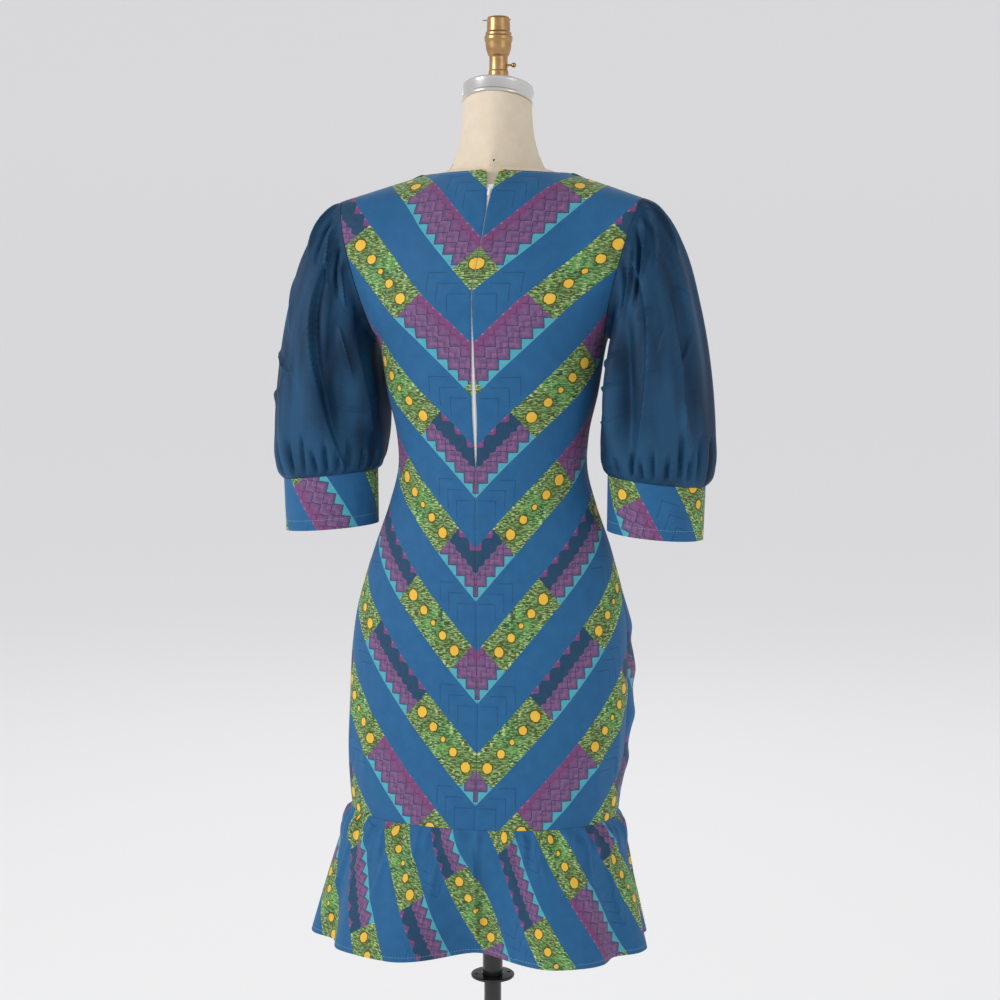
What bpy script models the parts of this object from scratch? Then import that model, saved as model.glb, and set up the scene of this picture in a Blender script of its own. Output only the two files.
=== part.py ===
"""A v-neck sheath dress with puff sleeves and a gathered hem ruffle, worn by a limbless dress form.

Metres, +Z up. The origin is on the floor under the middle of the stand. The garment's back, with its
zip, faces +Y, its V neck faces -Y, and the wearer's left is +X. Every cloth piece is a thin wall made
from the garment's own surface, so neighbours share their seam lines and are parted there by SEAM_GAP.
"""
import math
from collections import namedtuple

import bmesh
import bpy
import numpy as np
from mathutils import Vector

COLLECTION = "v_neck_dress"
CUTTERS = "cutters"

# Cloth and fits
WALL = 0.0016
SEAM_GAP = 0.00018
CLEARANCE = 0.0003
FORM_INSET = 0.0027
SHOULDER_INSET = 0.0046

# Levels of the dress above the floor
SEAM_Z = 0.595
UNDERARM_Z = 1.224
HEM_Z = 0.421
FORM_BOTTOM_Z = 0.680
ZIP_BOTTOM_Z = 0.905

# Rings of the dress from the ruffle seam to the underarm: half width at the sides, depth behind and in
# front of the side seams, squareness of the section, and how far the ring hangs towards +X
Ring = namedtuple("Ring", "z half_width back front squareness shift")
RINGS = [
    Ring(0.595, 0.181, 0.124, 0.118, 2.15, 0.011),
    Ring(0.660, 0.187, 0.119, 0.116, 2.20, 0.010),
    Ring(0.735, 0.189, 0.114, 0.114, 2.20, 0.006),
    Ring(0.815, 0.187, 0.110, 0.112, 2.15, 0.004),
    Ring(0.870, 0.181, 0.108, 0.110, 2.10, 0.002),
    Ring(0.915, 0.169, 0.104, 0.106, 2.05, 0.001),
    Ring(0.960, 0.155, 0.099, 0.101, 2.00, 0.000),
    Ring(1.005, 0.139, 0.095, 0.094, 2.00, 0.000),
    Ring(1.055, 0.1265, 0.094, 0.090, 2.00, 0.000),
    Ring(1.095, 0.128, 0.097, 0.096, 2.05, 0.000),
    Ring(1.140, 0.137, 0.103, 0.110, 2.15, 0.000),
    Ring(1.185, 0.146, 0.109, 0.121, 2.25, 0.000),
    Ring(1.224, 0.152, 0.112, 0.122, 2.30, 0.000),
]

# Middle line of the back and of the front above the underarm, up to the root of the neck
Profile = namedtuple("Profile", "z y")
NECK_ROOT_Z = 1.465
BACK_PROFILE = [Profile(1.224, 0.112), Profile(1.275, 0.116), Profile(1.325, 0.107),
                Profile(1.370, 0.089), Profile(1.405, 0.068), Profile(1.441, 0.040),
                Profile(NECK_ROOT_Z, -0.020)]
FRONT_PROFILE = [Profile(1.224, -0.122), Profile(1.270, -0.119), Profile(1.310, -0.110),
                 Profile(1.350, -0.098), Profile(1.390, -0.083), Profile(1.425, -0.064),
                 Profile(NECK_ROOT_Z, -0.020)]

# How far the centre-back seam strays towards +X from the middle of the body
Stray = namedtuple("Stray", "z x")
BACK_SEAM = [Stray(0.595, -0.0160), Stray(0.660, -0.0158), Stray(0.735, -0.0125), Stray(0.815, -0.0085),
             Stray(0.870, -0.0055), Stray(0.915, -0.0030), Stray(0.960, -0.0008), Stray(1.005, 0.0),
             Stray(1.280, 0.0), Stray(1.352, -0.0065), Stray(1.4135, -0.0095), Stray(1.441, -0.0095),
             Stray(NECK_ROOT_Z, 0.0)]

# Shoulder line from the root of the neck (0) to the shoulder tip (1); the neckline ends at 0.5
Shoulder = namedtuple("Shoulder", "across x y z")
SHOULDER_LINE = [Shoulder(0.0, 0.000, -0.020, NECK_ROOT_Z), Shoulder(0.25, 0.049, -0.026, 1.4545),
                 Shoulder(0.5, 0.098, -0.028, 1.4385), Shoulder(0.75, 0.150, -0.013, 1.4215),
                 Shoulder(1.0, 0.200, 0.005, 1.404)]
NECK_SIDE = 0.5
NECK_BACK_Z = 1.441
NECK_POINT_Z = 1.4385
V_POINT_Z = 1.322

# Sleeve rings, each an ellipse through an outer and an inner point: place along the sleeve (0 at the
# armhole, 1 at the cuff seam), outer and inner points, half depth, middle in Y, gather height
Sleeve = namedtuple("Sleeve", "along out_x out_z in_x in_z depth mid_y gather")
SLEEVE_RINGS = [
    Sleeve(0.00, 0.2000, 1.4040, 0.1520, 1.2240, 0.0580, 0.005, 0.0000),
    Sleeve(0.06, 0.2140, 1.3980, 0.1580, 1.2230, 0.0610, 0.006, 0.0022),
    Sleeve(0.14, 0.2320, 1.3790, 0.1590, 1.2080, 0.0640, 0.007, 0.0036),
    Sleeve(0.28, 0.2580, 1.3290, 0.1555, 1.1800, 0.0675, 0.009, 0.0034),
    Sleeve(0.44, 0.2770, 1.2580, 0.1515, 1.1480, 0.0700, 0.010, 0.0024),
    Sleeve(0.60, 0.2890, 1.1900, 0.1490, 1.1180, 0.0720, 0.010, 0.0020),
    Sleeve(0.76, 0.2955, 1.1200, 0.1480, 1.0900, 0.0735, 0.010, 0.0022),
    Sleeve(0.89, 0.2970, 1.0690, 0.1490, 1.0650, 0.0720, 0.010, 0.0028),
    Sleeve(0.96, 0.2925, 1.0440, 0.1525, 1.0530, 0.0660, 0.010, 0.0024),
    Sleeve(1.00, 0.2840, 1.0350, 0.1570, 1.0490, 0.0600, 0.010, 0.0000),
]
SLEEVE_COLUMNS = 48
SLEEVE_ROWS = [0.0, 0.055, 0.13, 0.25, 0.42, 0.62, 0.80, 0.91, 0.97, 1.0]
# Folds of the puffed cloth: how many lie round the sleeve, and the share of the gather height
SleeveFold = namedtuple("SleeveFold", "count share turn")
SLEEVE_FOLDS = [SleeveFold(12, 0.75, 0.2), SleeveFold(7, 0.35, 1.3), SleeveFold(3, 0.25, 2.4)]

# Cuff: lower edge, its outer and inner points, and half depth
CUFF_OUT = (0.2815, 0.9660)
CUFF_IN = (0.1565, 0.9765)
CUFF_DEPTH = 0.0605
CUFF_ROWS = 2

# Ruffle: its hem ring, and the folds, a row for each: where it is round the hem (degrees from the
# middle of the back towards +X), half the angle that it takes, and how far its crest stands out
HEM_RING = Ring(HEM_Z, 0.224, 0.149, 0.142, 2.10, 0.017)
RUFFLE_COLUMNS = 120
RUFFLE_ROWS = [0.0, 0.08, 0.22, 0.44, 0.70, 1.0]
RUFFLE_GATHERS = 30
GATHER_HEIGHT = 0.0034
Fold = namedtuple("Fold", "angle spread depth")
RUFFLE_FOLDS = [
    Fold(-6, 17, -0.058), Fold(17, 14, 0.012), Fold(40, 15, 0.013), Fold(57, 9, -0.010),
    Fold(74, 13, 0.010), Fold(93, 9, -0.013), Fold(109, 12, 0.012), Fold(127, 10, -0.012),
    Fold(144, 13, 0.011), Fold(161, 9, -0.014), Fold(178, 13, 0.013), Fold(196, 10, -0.012),
    Fold(212, 12, 0.012), Fold(229, 9, -0.013), Fold(246, 12, 0.010), Fold(263, 9, -0.012),
    Fold(280, 12, 0.010), Fold(297, 8, -0.008), Fold(316, 15, 0.015), Fold(334, 10, 0.006),
]

# Small tucks where the front skirt is eased into its side seams
TUCK_TOP_Z = 0.885
TUCK_BOTTOM_Z = 0.625
TUCK_COUNT = 4
TUCK_HEIGHT = 0.0042
TUCK_SWELL = 0.005

# Zip: half the gap between the back panels at each height, the lift of the cloth over the tape
Gap = namedtuple("Gap", "z half")
ZIP_GAPS = [Gap(0.595, 0.0), Gap(0.905, 0.0), Gap(1.055, 0.0002), Gap(1.085, 0.0016), Gap(1.130, 0.0028),
            Gap(1.180, 0.0022), Gap(1.270, 0.0004), Gap(1.386, 0.0004), Gap(1.4135, 0.0034),
            Gap(1.441, 0.0085)]
ZIP_LIFT = 0.0009
TAPE_GAP = 0.0005
TAPE_THICKNESS = 0.0007
SLIDER_SIZE = (0.0040, 0.0086, 0.0024)
PULL_LENGTH = 0.0125
PULL_WIDTH = 0.0034
PULL_THICKNESS = 0.0010
PULL_WIDEST = 0.78
PULL_STEPS = 8

# Grids: places round a quarter of the body, and rows
QUARTER = 10
FORM_COLUMNS = (0.0, 0.1, 0.2, 0.34, 0.5, 0.6, 0.7, 0.8, 0.9, 1.0)
BODICE_ROWS_Z = (0.955, 1.005, 1.055, 1.100, 1.150)
BACK_ROWS_Z = (0.595, 0.665, 0.740, 0.815, 0.862, 0.905) + BODICE_ROWS_Z
FRONT_ROWS_Z = (0.595,) + tuple(0.625 + 0.020 * k for k in range(14)) + (0.920,) + BODICE_ROWS_Z
FORM_ROWS_Z = (0.700, 0.740, 0.815, 0.862, 0.905) + BODICE_ROWS_Z
UPPER_ROWS = 8

# Form: neck, cap, finial
NECK_ROOT_SIDE = 0.34
NECK_ROOT_BACK_Z = 1.449
NECK_ROOT_FRONT_Z = 1.424
NECK_TOP = Vector((0.0, -0.0290, 1.5300))
NECK_TILT = math.radians(17.0)
NECK_RADIUS = 0.0462
NECK_ROWS = (0.15, 0.45, 1.0)
CAP_RADIUS = 0.0473
CAP_HEIGHT = 0.0210
CAP_BEVEL = 0.0012
PLATE_RADIUS = 0.0165
PLATE_HEIGHT = 0.0030
FINIAL_SIDES = 20
FINIAL_PROFILE = [(0.0, 1.6430), (0.0135, 1.6430), (0.0150, 1.6405), (0.0155, 1.6240), (0.0172, 1.6225),
                  (0.0172, 1.6190), (0.0186, 1.6175), (0.0186, 1.6130), (0.0176, 1.6110), (0.0165, 1.6010),
                  (0.0140, 1.5935), (0.0122, 1.5910), (0.0122, 1.5740), (0.0132, 1.5725), (0.0132, 1.5440),
                  (0.0, 1.5440)]
PIN_RADIUS = 0.0008
PIN_Z = 1.6385
SCREW_Z = 1.5800
SCREW_REACH = 0.0205
SCREW_BALL = 0.0034

# Stand
POST_RADIUS = 0.0135
POST_BORE = 0.0120
FLANGE_RADIUS = 0.0295
FLANGE_BOTTOM_Z = 0.3590
FLANGE_THICKNESS = 0.0040
FLANGE_HOLE_RADIUS = 0.0026
FLANGE_HOLE_CIRCLE = 0.0225
POST_CAP = 0.0060
TUBE_RADIUS = 0.0116
TUBE_TOP_Z = 0.5400
BASE_RADIUS = 0.2000
HUB_TOP_Z = 0.0560
HUB_RADIUS = 0.0240

Look = namedtuple("Look", "color roughness metallic")
LOOKS = {
    "print_cloth": Look((0.03, 0.15, 0.32), 0.75, 0.0),
    "sleeve_cloth": Look((0.010, 0.058, 0.130), 0.45, 0.0),
    "linen": Look((0.70, 0.60, 0.46), 0.90, 0.0),
    "chrome": Look((0.60, 0.60, 0.60), 0.25, 1.0),
    "antique_gold": Look((0.36, 0.22, 0.09), 0.38, 1.0),
    "black_gloss": Look((0.02, 0.02, 0.02), 0.20, 0.0),
    "zip_white": Look((0.80, 0.80, 0.80), 0.60, 0.0),
}


def smooth(rows, key, column, place):
    """Read a table's column at a place, on a smooth curve that never overshoots its rows."""
    at = [getattr(row, key) for row in rows]
    values = [getattr(row, column) for row in rows]
    if at[0] > at[-1]:
        at, values = at[::-1], values[::-1]
    place = min(max(place, at[0]), at[-1])
    steps = [(values[i + 1] - values[i]) / (at[i + 1] - at[i]) for i in range(len(at) - 1)]
    slopes = [steps[0]]
    for before, after in zip(steps, steps[1:]):
        slopes.append(2 * before * after / (before + after) if before * after > 0 else 0.0)
    slopes.append(steps[-1])
    i = min(max(i for i in range(len(at)) if at[i] <= place), len(at) - 2)
    width = at[i + 1] - at[i]
    t = (place - at[i]) / width
    return ((2 * t ** 3 - 3 * t ** 2 + 1) * values[i] + (t ** 3 - 2 * t ** 2 + t) * width * slopes[i]
            + (3 * t ** 2 - 2 * t ** 3) * values[i + 1] + (t ** 3 - t ** 2) * width * slopes[i + 1])


def ease(value):
    """A soft step from 0 to 1."""
    value = min(max(value, 0.0), 1.0)
    return value * value * (3 - 2 * value)


def rounded(value, squareness):
    return math.copysign(abs(value) ** (2 / squareness), value)


def ring_point(angle, ring, z):
    """A point of a body ring; angle is 0 at the middle of the back and 90 degrees at +X."""
    depth = ring["back"] if math.cos(angle) >= 0 else ring["front"]
    return np.array((ring["half_width"] * rounded(math.sin(angle), ring["squareness"]) + ring["shift"],
                     depth * rounded(math.cos(angle), ring["squareness"]), z))


def body_ring(z):
    return {name: smooth(RINGS, "z", name, z) for name in Ring._fields[1:]}


def tuck_height(across, z):
    """How far the tucks beside the front side seams stand out."""
    if not TUCK_BOTTOM_Z < z < TUCK_TOP_Z:
        return 0.0
    down = (TUCK_TOP_Z - z) / (TUCK_TOP_Z - TUCK_BOTTOM_Z)
    wave = 0.5 - 0.5 * math.cos(2 * math.pi * TUCK_COUNT * (down + 0.10 * (1 - across)))
    near_seam = ease((across - 0.45) / 0.4) * ease((1.0 - across) / 0.10)
    swell = TUCK_SWELL * math.sin(math.pi * down)
    return near_seam * (swell + TUCK_HEIGHT * wave * ease(down * 6) * ease((1 - down) * 6))


def seam_turn(ring, z, stray):
    """The angle of the centre-back seam on a ring; stray is 1 or -1 for a panel at +X or -X, 0 without it."""
    away = stray * smooth(BACK_SEAM, "z", "x", z) / ring["half_width"]
    return math.asin(math.copysign(abs(away) ** (ring["squareness"] / 2), away))


def lower_point(side, across, z, stray=0, tucked=False):
    """A point of the dress below the underarm; across is 0 at the middle and 1 at the side seam."""
    ring = body_ring(z)
    if side == "back":
        start = seam_turn(ring, z, stray)
        return ring_point(start + across * (math.pi / 2 - start), ring, z)
    grow = tuck_height(across, z) if tucked else 0.0
    for name in ("half_width", "front"):
        ring[name] += grow
    return ring_point(math.pi - across * math.pi / 2, ring, z)


def armhole_point(side, up):
    """A point of the armhole; up is 0 at the underarm and 1 at the shoulder tip."""
    turn = math.pi * (1 - up)
    return sleeve_ring_point(turn if side == "back" else -turn, 0.0)


def middle_point(side, up):
    profile = BACK_PROFILE if side == "back" else FRONT_PROFILE
    z = UNDERARM_Z + up * (NECK_ROOT_Z - UNDERARM_Z)
    return np.array((0.0, smooth(profile, "z", "y", z), z))


def shoulder_point(across):
    return np.array([smooth(SHOULDER_LINE, "across", name, across) for name in ("x", "y", "z")])


def upper_point(side, across, up, stray=0):
    """A point above the underarm, on a patch between underarm ring, shoulder line, middle and armhole."""
    if side == "back" and stray:
        z = UNDERARM_Z + up * (NECK_ROOT_Z - UNDERARM_Z)
        start = stray * smooth(BACK_SEAM, "z", "x", z) / SHOULDER_LINE[-1].x
        place = start + across * (1 - start)
        return upper_point(side, abs(place), up) * np.array((math.copysign(1.0, place), 1.0, 1.0))
    weight = ease(up) if up < 1 else 1.0
    low, high = lower_point(side, across, UNDERARM_Z), shoulder_point(across)
    middle, armhole = middle_point(side, up), armhole_point(side, up)
    corner_middle = (1 - weight) * middle_point(side, 0) + weight * middle_point(side, 1)
    corner_armhole = (1 - weight) * armhole_point(side, 0) + weight * armhole_point(side, 1)
    return ((1 - weight) * low + weight * high + (1 - across) * (middle - corner_middle)
            + across * (armhole - corner_armhole))


def height_on_patch(side, across, z, stray):
    """How far up the patch a column reaches a height."""
    low, high = 0.0, 1.0
    for _ in range(40):
        half = (low + high) / 2
        if upper_point(side, across, half, stray)[2] < z:
            low = half
        else:
            high = half
    return high


def neckline_top(side, across, stray):
    """The end of a panel's column: on the neckline, or on the shoulder seam beyond it."""
    if across >= NECK_SIDE:
        return 1.0
    start = NECK_BACK_Z if side == "back" else V_POINT_Z
    return height_on_patch(side, across, start + (NECK_POINT_Z - start) * across / NECK_SIDE, stray)


def neck_root_top(side, across, stray):
    """The end of a column of the form: on the root of its neck, or on the shoulder line."""
    if across >= NECK_ROOT_SIDE:
        return 1.0
    start = NECK_ROOT_BACK_Z if side == "back" else NECK_ROOT_FRONT_Z
    end = shoulder_point(NECK_ROOT_SIDE)[2]
    return height_on_patch(side, across, start + (end - start) * (across / NECK_ROOT_SIDE) ** 2, stray)


def body_grid(side, columns, rows_z, top, mirror, tucked):
    """Rows of points from the lowest ring to the neckline and the shoulder seam."""
    grid = [[lower_point(side, across, z, mirror, tucked) for across in columns] for z in rows_z]
    ends = [top(side, across, mirror) for across in columns]
    for row in range(UPPER_ROWS + 1):
        share = row / UPPER_ROWS
        grid.append([upper_point(side, across, share * end, mirror) for across, end in zip(columns, ends)])
    grid = np.array(grid)
    if mirror < 0:
        grid[:, :, 0] = mirror * grid[:, :, 0]
        shifts = [2 * body_ring(z)["shift"] for z in rows_z] + [0.0] * (UPPER_ROWS + 1)
        grid[:, :, 0] += np.array(shifts)[:, None]
    return grid


def shared_normals(grids, inside):
    """Outward normals at each grid's points, the same for points that several grids share."""
    sums = {}
    faces = []
    for grid in grids:
        corner = (grid[:-1, :-1], grid[:-1, 1:], grid[1:, 1:], grid[1:, :-1])
        normal = np.cross(corner[2] - corner[0], corner[3] - corner[1])
        middle = sum(corner) / 4
        flip = np.sign(np.sum(normal * (middle - inside(middle)), axis=-1, keepdims=True))
        flip[flip == 0] = 1
        faces.append(normal * flip)
    for grid, normal in zip(grids, faces):
        for offset in ((0, 0), (0, 1), (1, 0), (1, 1)):
            for j in range(normal.shape[0]):
                for i in range(normal.shape[1]):
                    key = tuple(np.round(grid[j + offset[0], i + offset[1]], 6))
                    sums[key] = sums.get(key, 0) + normal[j, i]
    result = []
    for grid in grids:
        flat = np.array([sums[tuple(np.round(p, 6))] for p in grid.reshape(-1, 3)]).reshape(grid.shape)
        result.append(flat / np.linalg.norm(flat, axis=-1, keepdims=True))
    return result


def body_middle(points):
    """The middle of the body beside each point, for telling its outside from its inside."""
    middle = points.copy()
    middle[..., 0] *= 0.3
    middle[..., 1] = 0.0
    middle[..., 2] = np.minimum(points[..., 2], 1.30)
    return middle


def part_seam(points, edge):
    """Draw an edge of a grid back from its seam line."""
    here, beside = {"first_column": (np.s_[:, 0], np.s_[:, 1]), "last_column": (np.s_[:, -1], np.s_[:, -2]),
                    "first_row": (np.s_[0], np.s_[1]), "last_row": (np.s_[-1], np.s_[-2])}[edge]
    step = points[beside] - points[here]
    points[here] += SEAM_GAP * step / np.linalg.norm(step, axis=-1, keepdims=True)


def own_collection(name):
    found = bpy.data.collections.get(name)
    if found is None:
        found = bpy.data.collections.new(name)
        bpy.context.scene.collection.children.link(found)
    return found


def add_object(name, mesh, look, collection=COLLECTION):
    """Link a mesh as a named object with its material."""
    made = bpy.data.objects.new(name, mesh)
    own_collection(collection).objects.link(made)
    material = bpy.data.materials.get(look)
    if material is None:
        material = bpy.data.materials.new(look)
        material.use_nodes = True
        shader = material.node_tree.nodes["Principled BSDF"]
        shader.inputs["Base Color"].default_value = (*LOOKS[look].color, 1.0)
        shader.inputs["Roughness"].default_value = LOOKS[look].roughness
        shader.inputs["Metallic"].default_value = LOOKS[look].metallic
    mesh.materials.append(material)
    return made


def mesh_from(name, points, faces, smooth_shade=True):
    """A closed mesh from points and faces, its doubled points joined and its faces turned outward."""
    bm = bmesh.new()
    verts = [bm.verts.new(p) for p in points]
    for face in faces:
        bm.faces.new([verts[i] for i in face])
    bmesh.ops.remove_doubles(bm, verts=bm.verts[:], dist=0.000002)
    bmesh.ops.recalc_face_normals(bm, faces=bm.faces[:])
    mesh = bpy.data.meshes.new(name)
    bm.to_mesh(mesh)
    bm.free()
    if smooth_shade:
        mesh.shade_smooth()
        mesh.set_sharp_from_angle(angle=math.radians(40))
    return mesh


def cloth_wall(name, outer, inner, look, closed=False):
    """A closed wall between two grids of points; a closed one runs all round a tube."""
    rows, columns = outer.shape[:2]
    points = [tuple(p) for p in outer.reshape(-1, 3)] + [tuple(p) for p in inner.reshape(-1, 3)]
    under = rows * columns
    spans = [(i, (i + 1) % columns) for i in range(columns if closed else columns - 1)]
    faces = []
    for j in range(rows - 1):
        for a, b in spans:
            quad = [j * columns + a, j * columns + b, (j + 1) * columns + b, (j + 1) * columns + a]
            faces.append(quad)
            faces.append([under + i for i in reversed(quad)])
    for j in (0, rows - 1):
        for a, b in spans:
            faces.append([j * columns + a, j * columns + b, under + j * columns + b, under + j * columns + a])
    if not closed:
        for i in (0, columns - 1):
            for j in range(rows - 1):
                low, high = j * columns + i, (j + 1) * columns + i
                faces.append([low, high, under + high, under + low])
    return add_object(name, mesh_from(name, points, faces), look)


def sleeve_ring_point(turn, along):
    """A point of the +X sleeve; turn is 0 on its outer line and 90 degrees behind."""
    row = {name: smooth(SLEEVE_RINGS, "along", name, along) for name in Sleeve._fields[1:]}
    outer = np.array((row["out_x"], 0.0, row["out_z"]))
    inner = np.array((row["in_x"], 0.0, row["in_z"]))
    ripple = sum(f.share * math.cos(f.count * turn + f.turn) for f in SLEEVE_FOLDS)
    calm = 0.35 + 0.65 * (0.5 + 0.5 * math.cos(turn)) if along < 0.8 else 0.8
    grow = 1 + row["gather"] * ripple * calm / row["depth"]
    side = np.array((0.0, row["depth"], 0.0)) * math.sin(turn)
    centre = (outer + inner) / 2 + np.array((0.0, row["mid_y"] * ease(along * 3), 0.0))
    shift = np.array((0.0, 0.005 * (1 + math.cos(turn)) / 2, 0.0)) if along == 0 else 0.0
    return centre + grow * ((outer - inner) / 2 * math.cos(turn) + side) + shift


def armhole_seam(turn):
    """A point on the panels' armhole edge, which has straight lengths between its rows."""
    place = (turn % (2 * math.pi)) / math.pi * UPPER_ROWS
    low = math.floor(place)
    part = place - low
    ends = [sleeve_ring_point(math.pi * k / UPPER_ROWS, 0.0) for k in (low, low + 1)]
    return (1 - part) * ends[0] + part * ends[1]


def sleeve_grid(mirror):
    turns = [2 * math.pi * i / SLEEVE_COLUMNS for i in range(SLEEVE_COLUMNS)]
    grid = [[armhole_seam(turn) for turn in turns]]
    grid += [[sleeve_ring_point(turn, along) for turn in turns] for along in SLEEVE_ROWS[1:]]
    return np.array(grid) * np.array((mirror, 1, 1))


def cuff_grid(mirror):
    """Cuff rings from the sleeve seam to the lower edge."""
    top, rows = SLEEVE_RINGS[-1], []
    for j in range(CUFF_ROWS):
        share = j / (CUFF_ROWS - 1)
        outer = (1 - share) * np.array((top.out_x, 0, top.out_z)) + share * np.array((CUFF_OUT[0], 0, CUFF_OUT[1]))
        inner = (1 - share) * np.array((top.in_x, 0, top.in_z)) + share * np.array((CUFF_IN[0], 0, CUFF_IN[1]))
        depth = (1 - share) * top.depth + share * CUFF_DEPTH
        row = []
        for i in range(SLEEVE_COLUMNS):
            turn = 2 * math.pi * i / SLEEVE_COLUMNS
            row.append((outer + inner) / 2 + (outer - inner) / 2 * math.cos(turn)
                       + np.array((0, top.mid_y + depth * math.sin(turn), 0)))
        rows.append(row)
    return np.array(rows) * np.array((mirror, 1, 1))


def tube_normals(grid):
    """Outward normals of a closed tube of rings."""
    along = np.gradient(grid, axis=0)
    around = np.roll(grid, -1, axis=1) - np.roll(grid, 1, axis=1)
    normal = np.cross(around, along)
    normal /= np.linalg.norm(normal, axis=-1, keepdims=True)
    outward = np.sum(normal * (grid - grid.mean(axis=1, keepdims=True)))
    return normal if outward > 0 else -normal


def make_panels():
    """The four body panels, their shared normals, and the back panels' grids for the zip."""
    columns = [i / QUARTER for i in range(QUARTER + 1)]
    plans = [("back_left", "back", 1, BACK_ROWS_Z), ("back_right", "back", -1, BACK_ROWS_Z),
             ("front_left", "front", 1, FRONT_ROWS_Z), ("front_right", "front", -1, FRONT_ROWS_Z)]
    grids = [body_grid(side, columns, rows_z, neckline_top, mirror, True) for _, side, mirror, rows_z in plans]
    normals = shared_normals(grids, body_middle)
    for number, (name, side, mirror, _) in enumerate(plans):
        seam, beside = normals[number][:, -1], normals[(number + 2) % 4]
        if number > 1:
            matched = [np.interp(grids[number][:, -1, 2], grids[number - 2][:, -1, 2], beside[:, -1, k])
                       for k in range(3)]
            below = grids[number][:, -1, 2] < UNDERARM_Z - 0.001
            seam[below] = np.array(matched).T[below]
        outer = grids[number].copy()
        if side == "back":
            lift_over_zip(outer, normals[number])
        inner = outer - WALL * normals[number]
        for points in (outer, inner):
            for edge in ("first_column", "last_column", "first_row"):
                part_seam(points, edge)
            half_shoulder = round(NECK_SIDE * QUARTER)
            part_seam(points[:, half_shoulder:], "last_row")
            if side == "back":
                spread_for_zip(points, mirror)
        cloth_wall(name, outer, inner, "print_cloth")
    return grids, normals


def lift_over_zip(outer, normals):
    """Raise the two columns beside the middle of the back over the zip tape."""
    over = [ease((z - ZIP_BOTTOM_Z + 0.05) / 0.045) for z in outer[:, 0, 2]]
    for column in (0, 1):
        outer[:, column] += ZIP_LIFT * np.array(over)[:, None] * normals[:, column]


def spread_for_zip(points, mirror):
    """Part the back panels where the zip gapes, and at the open notch above its slider."""
    for row in points:
        row[0, 0] += mirror * smooth(ZIP_GAPS, "z", "half", row[0, 2])


def make_sleeves(grids):
    """A puffed sleeve and a cuff at each armhole."""
    for side, mirror, back, front in (("left", 1, 0, 2), ("right", -1, 1, 3)):
        outer = sleeve_grid(mirror)
        direction = tube_normals(outer)
        lean_off_panels(direction[0], grids[back], grids[front])
        cuff = cuff_grid(mirror)
        cuff_direction = tube_normals(cuff)
        direction[-1] = cuff_direction[0]
        inner = outer - WALL * direction
        cuff_inner = cuff - WALL * cuff_direction
        for points in (outer, inner):
            part_seam(points, "first_row")
            part_seam(points, "last_row")
        for points in (cuff, cuff_inner):
            part_seam(points, "first_row")
        cloth_wall(f"sleeve_{side}", outer, inner, "sleeve_cloth", closed=True)
        cloth_wall(f"cuff_{side}", cuff, cuff_inner, "print_cloth", closed=True)


def lean_off_panels(direction, back, front):
    """Turn the thickness of a sleeve's first ring so that it doesn't reach under the panels."""
    edges = [grid[-UPPER_ROWS - 1:, -1] - grid[-UPPER_ROWS - 1:, -2] for grid in (back, front)]
    loop = list(edges[0][::-1]) + list(edges[1][1:])
    for i in range(SLEEVE_COLUMNS):
        place = i / SLEEVE_COLUMNS * 2 * UPPER_ROWS
        low = math.floor(place)
        tangent = (1 - place + low) * loop[low] + (place - low) * loop[(low + 1) % len(loop)]
        tangent /= np.linalg.norm(tangent)
        lean = direction[i] @ tangent
        if lean > 0:
            direction[i] -= lean * tangent
            direction[i] /= np.linalg.norm(direction[i])


def hem_fold(angle):
    """How far the ruffle's hem stands out from its ring."""
    total = 0.0
    for fold in RUFFLE_FOLDS:
        away = (math.degrees(angle) - fold.angle + 180) % 360 - 180
        if abs(away) < 1.6 * fold.spread:
            total += fold.depth * (0.5 + 0.5 * math.cos(math.pi * away / (1.6 * fold.spread)))
    return total


def skirt_seam(angle):
    """A point on the panels' lower edge, which has straight lengths between its columns."""
    ring = body_ring(SEAM_Z)
    half = math.pi / 2
    angle = (angle + math.pi) % (2 * math.pi) - math.pi
    seam = seam_turn(ring, SEAM_Z, 1) if abs(angle) < half else 0.0
    start, end = (seam, half) if seam <= angle < half else (-half, seam)
    if abs(angle) >= half:
        start, end = (half, 2 * half) if angle > 0 else (-2 * half, -half)
    width = (end - start) / QUARTER
    place = (angle - start) / width
    low = math.floor(place)
    ends = [ring_point(start + k * width, ring, SEAM_Z) for k in (low, low + 1)]
    return (1 - place + low) * ends[0] + (place - low) * ends[1]


def ruffle_point(angle, down):
    """A point of the ruffle; down is 0 at its seam and 1 at its hem."""
    top = skirt_seam(angle)
    if down == 0:
        return top
    hem = ring_point(angle, HEM_RING._asdict(), HEM_Z)
    flare = down ** 0.8
    point = (1 - flare) * top + flare * hem
    point[2] = SEAM_Z + down * (HEM_Z - SEAM_Z)
    outward = np.array((hem[0] - HEM_RING.shift, hem[1] * 1.3, 0.0))
    outward /= np.linalg.norm(outward)
    gather = GATHER_HEIGHT * math.cos(RUFFLE_GATHERS * angle) * ease(down / 0.07) * (1 - ease((down - 0.1) / 0.6))
    swell = 0.004 * math.sin(math.pi * min(down / 0.25, 1.0))
    return point + outward * (gather + swell + hem_fold(angle) * down ** 1.25)


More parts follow.
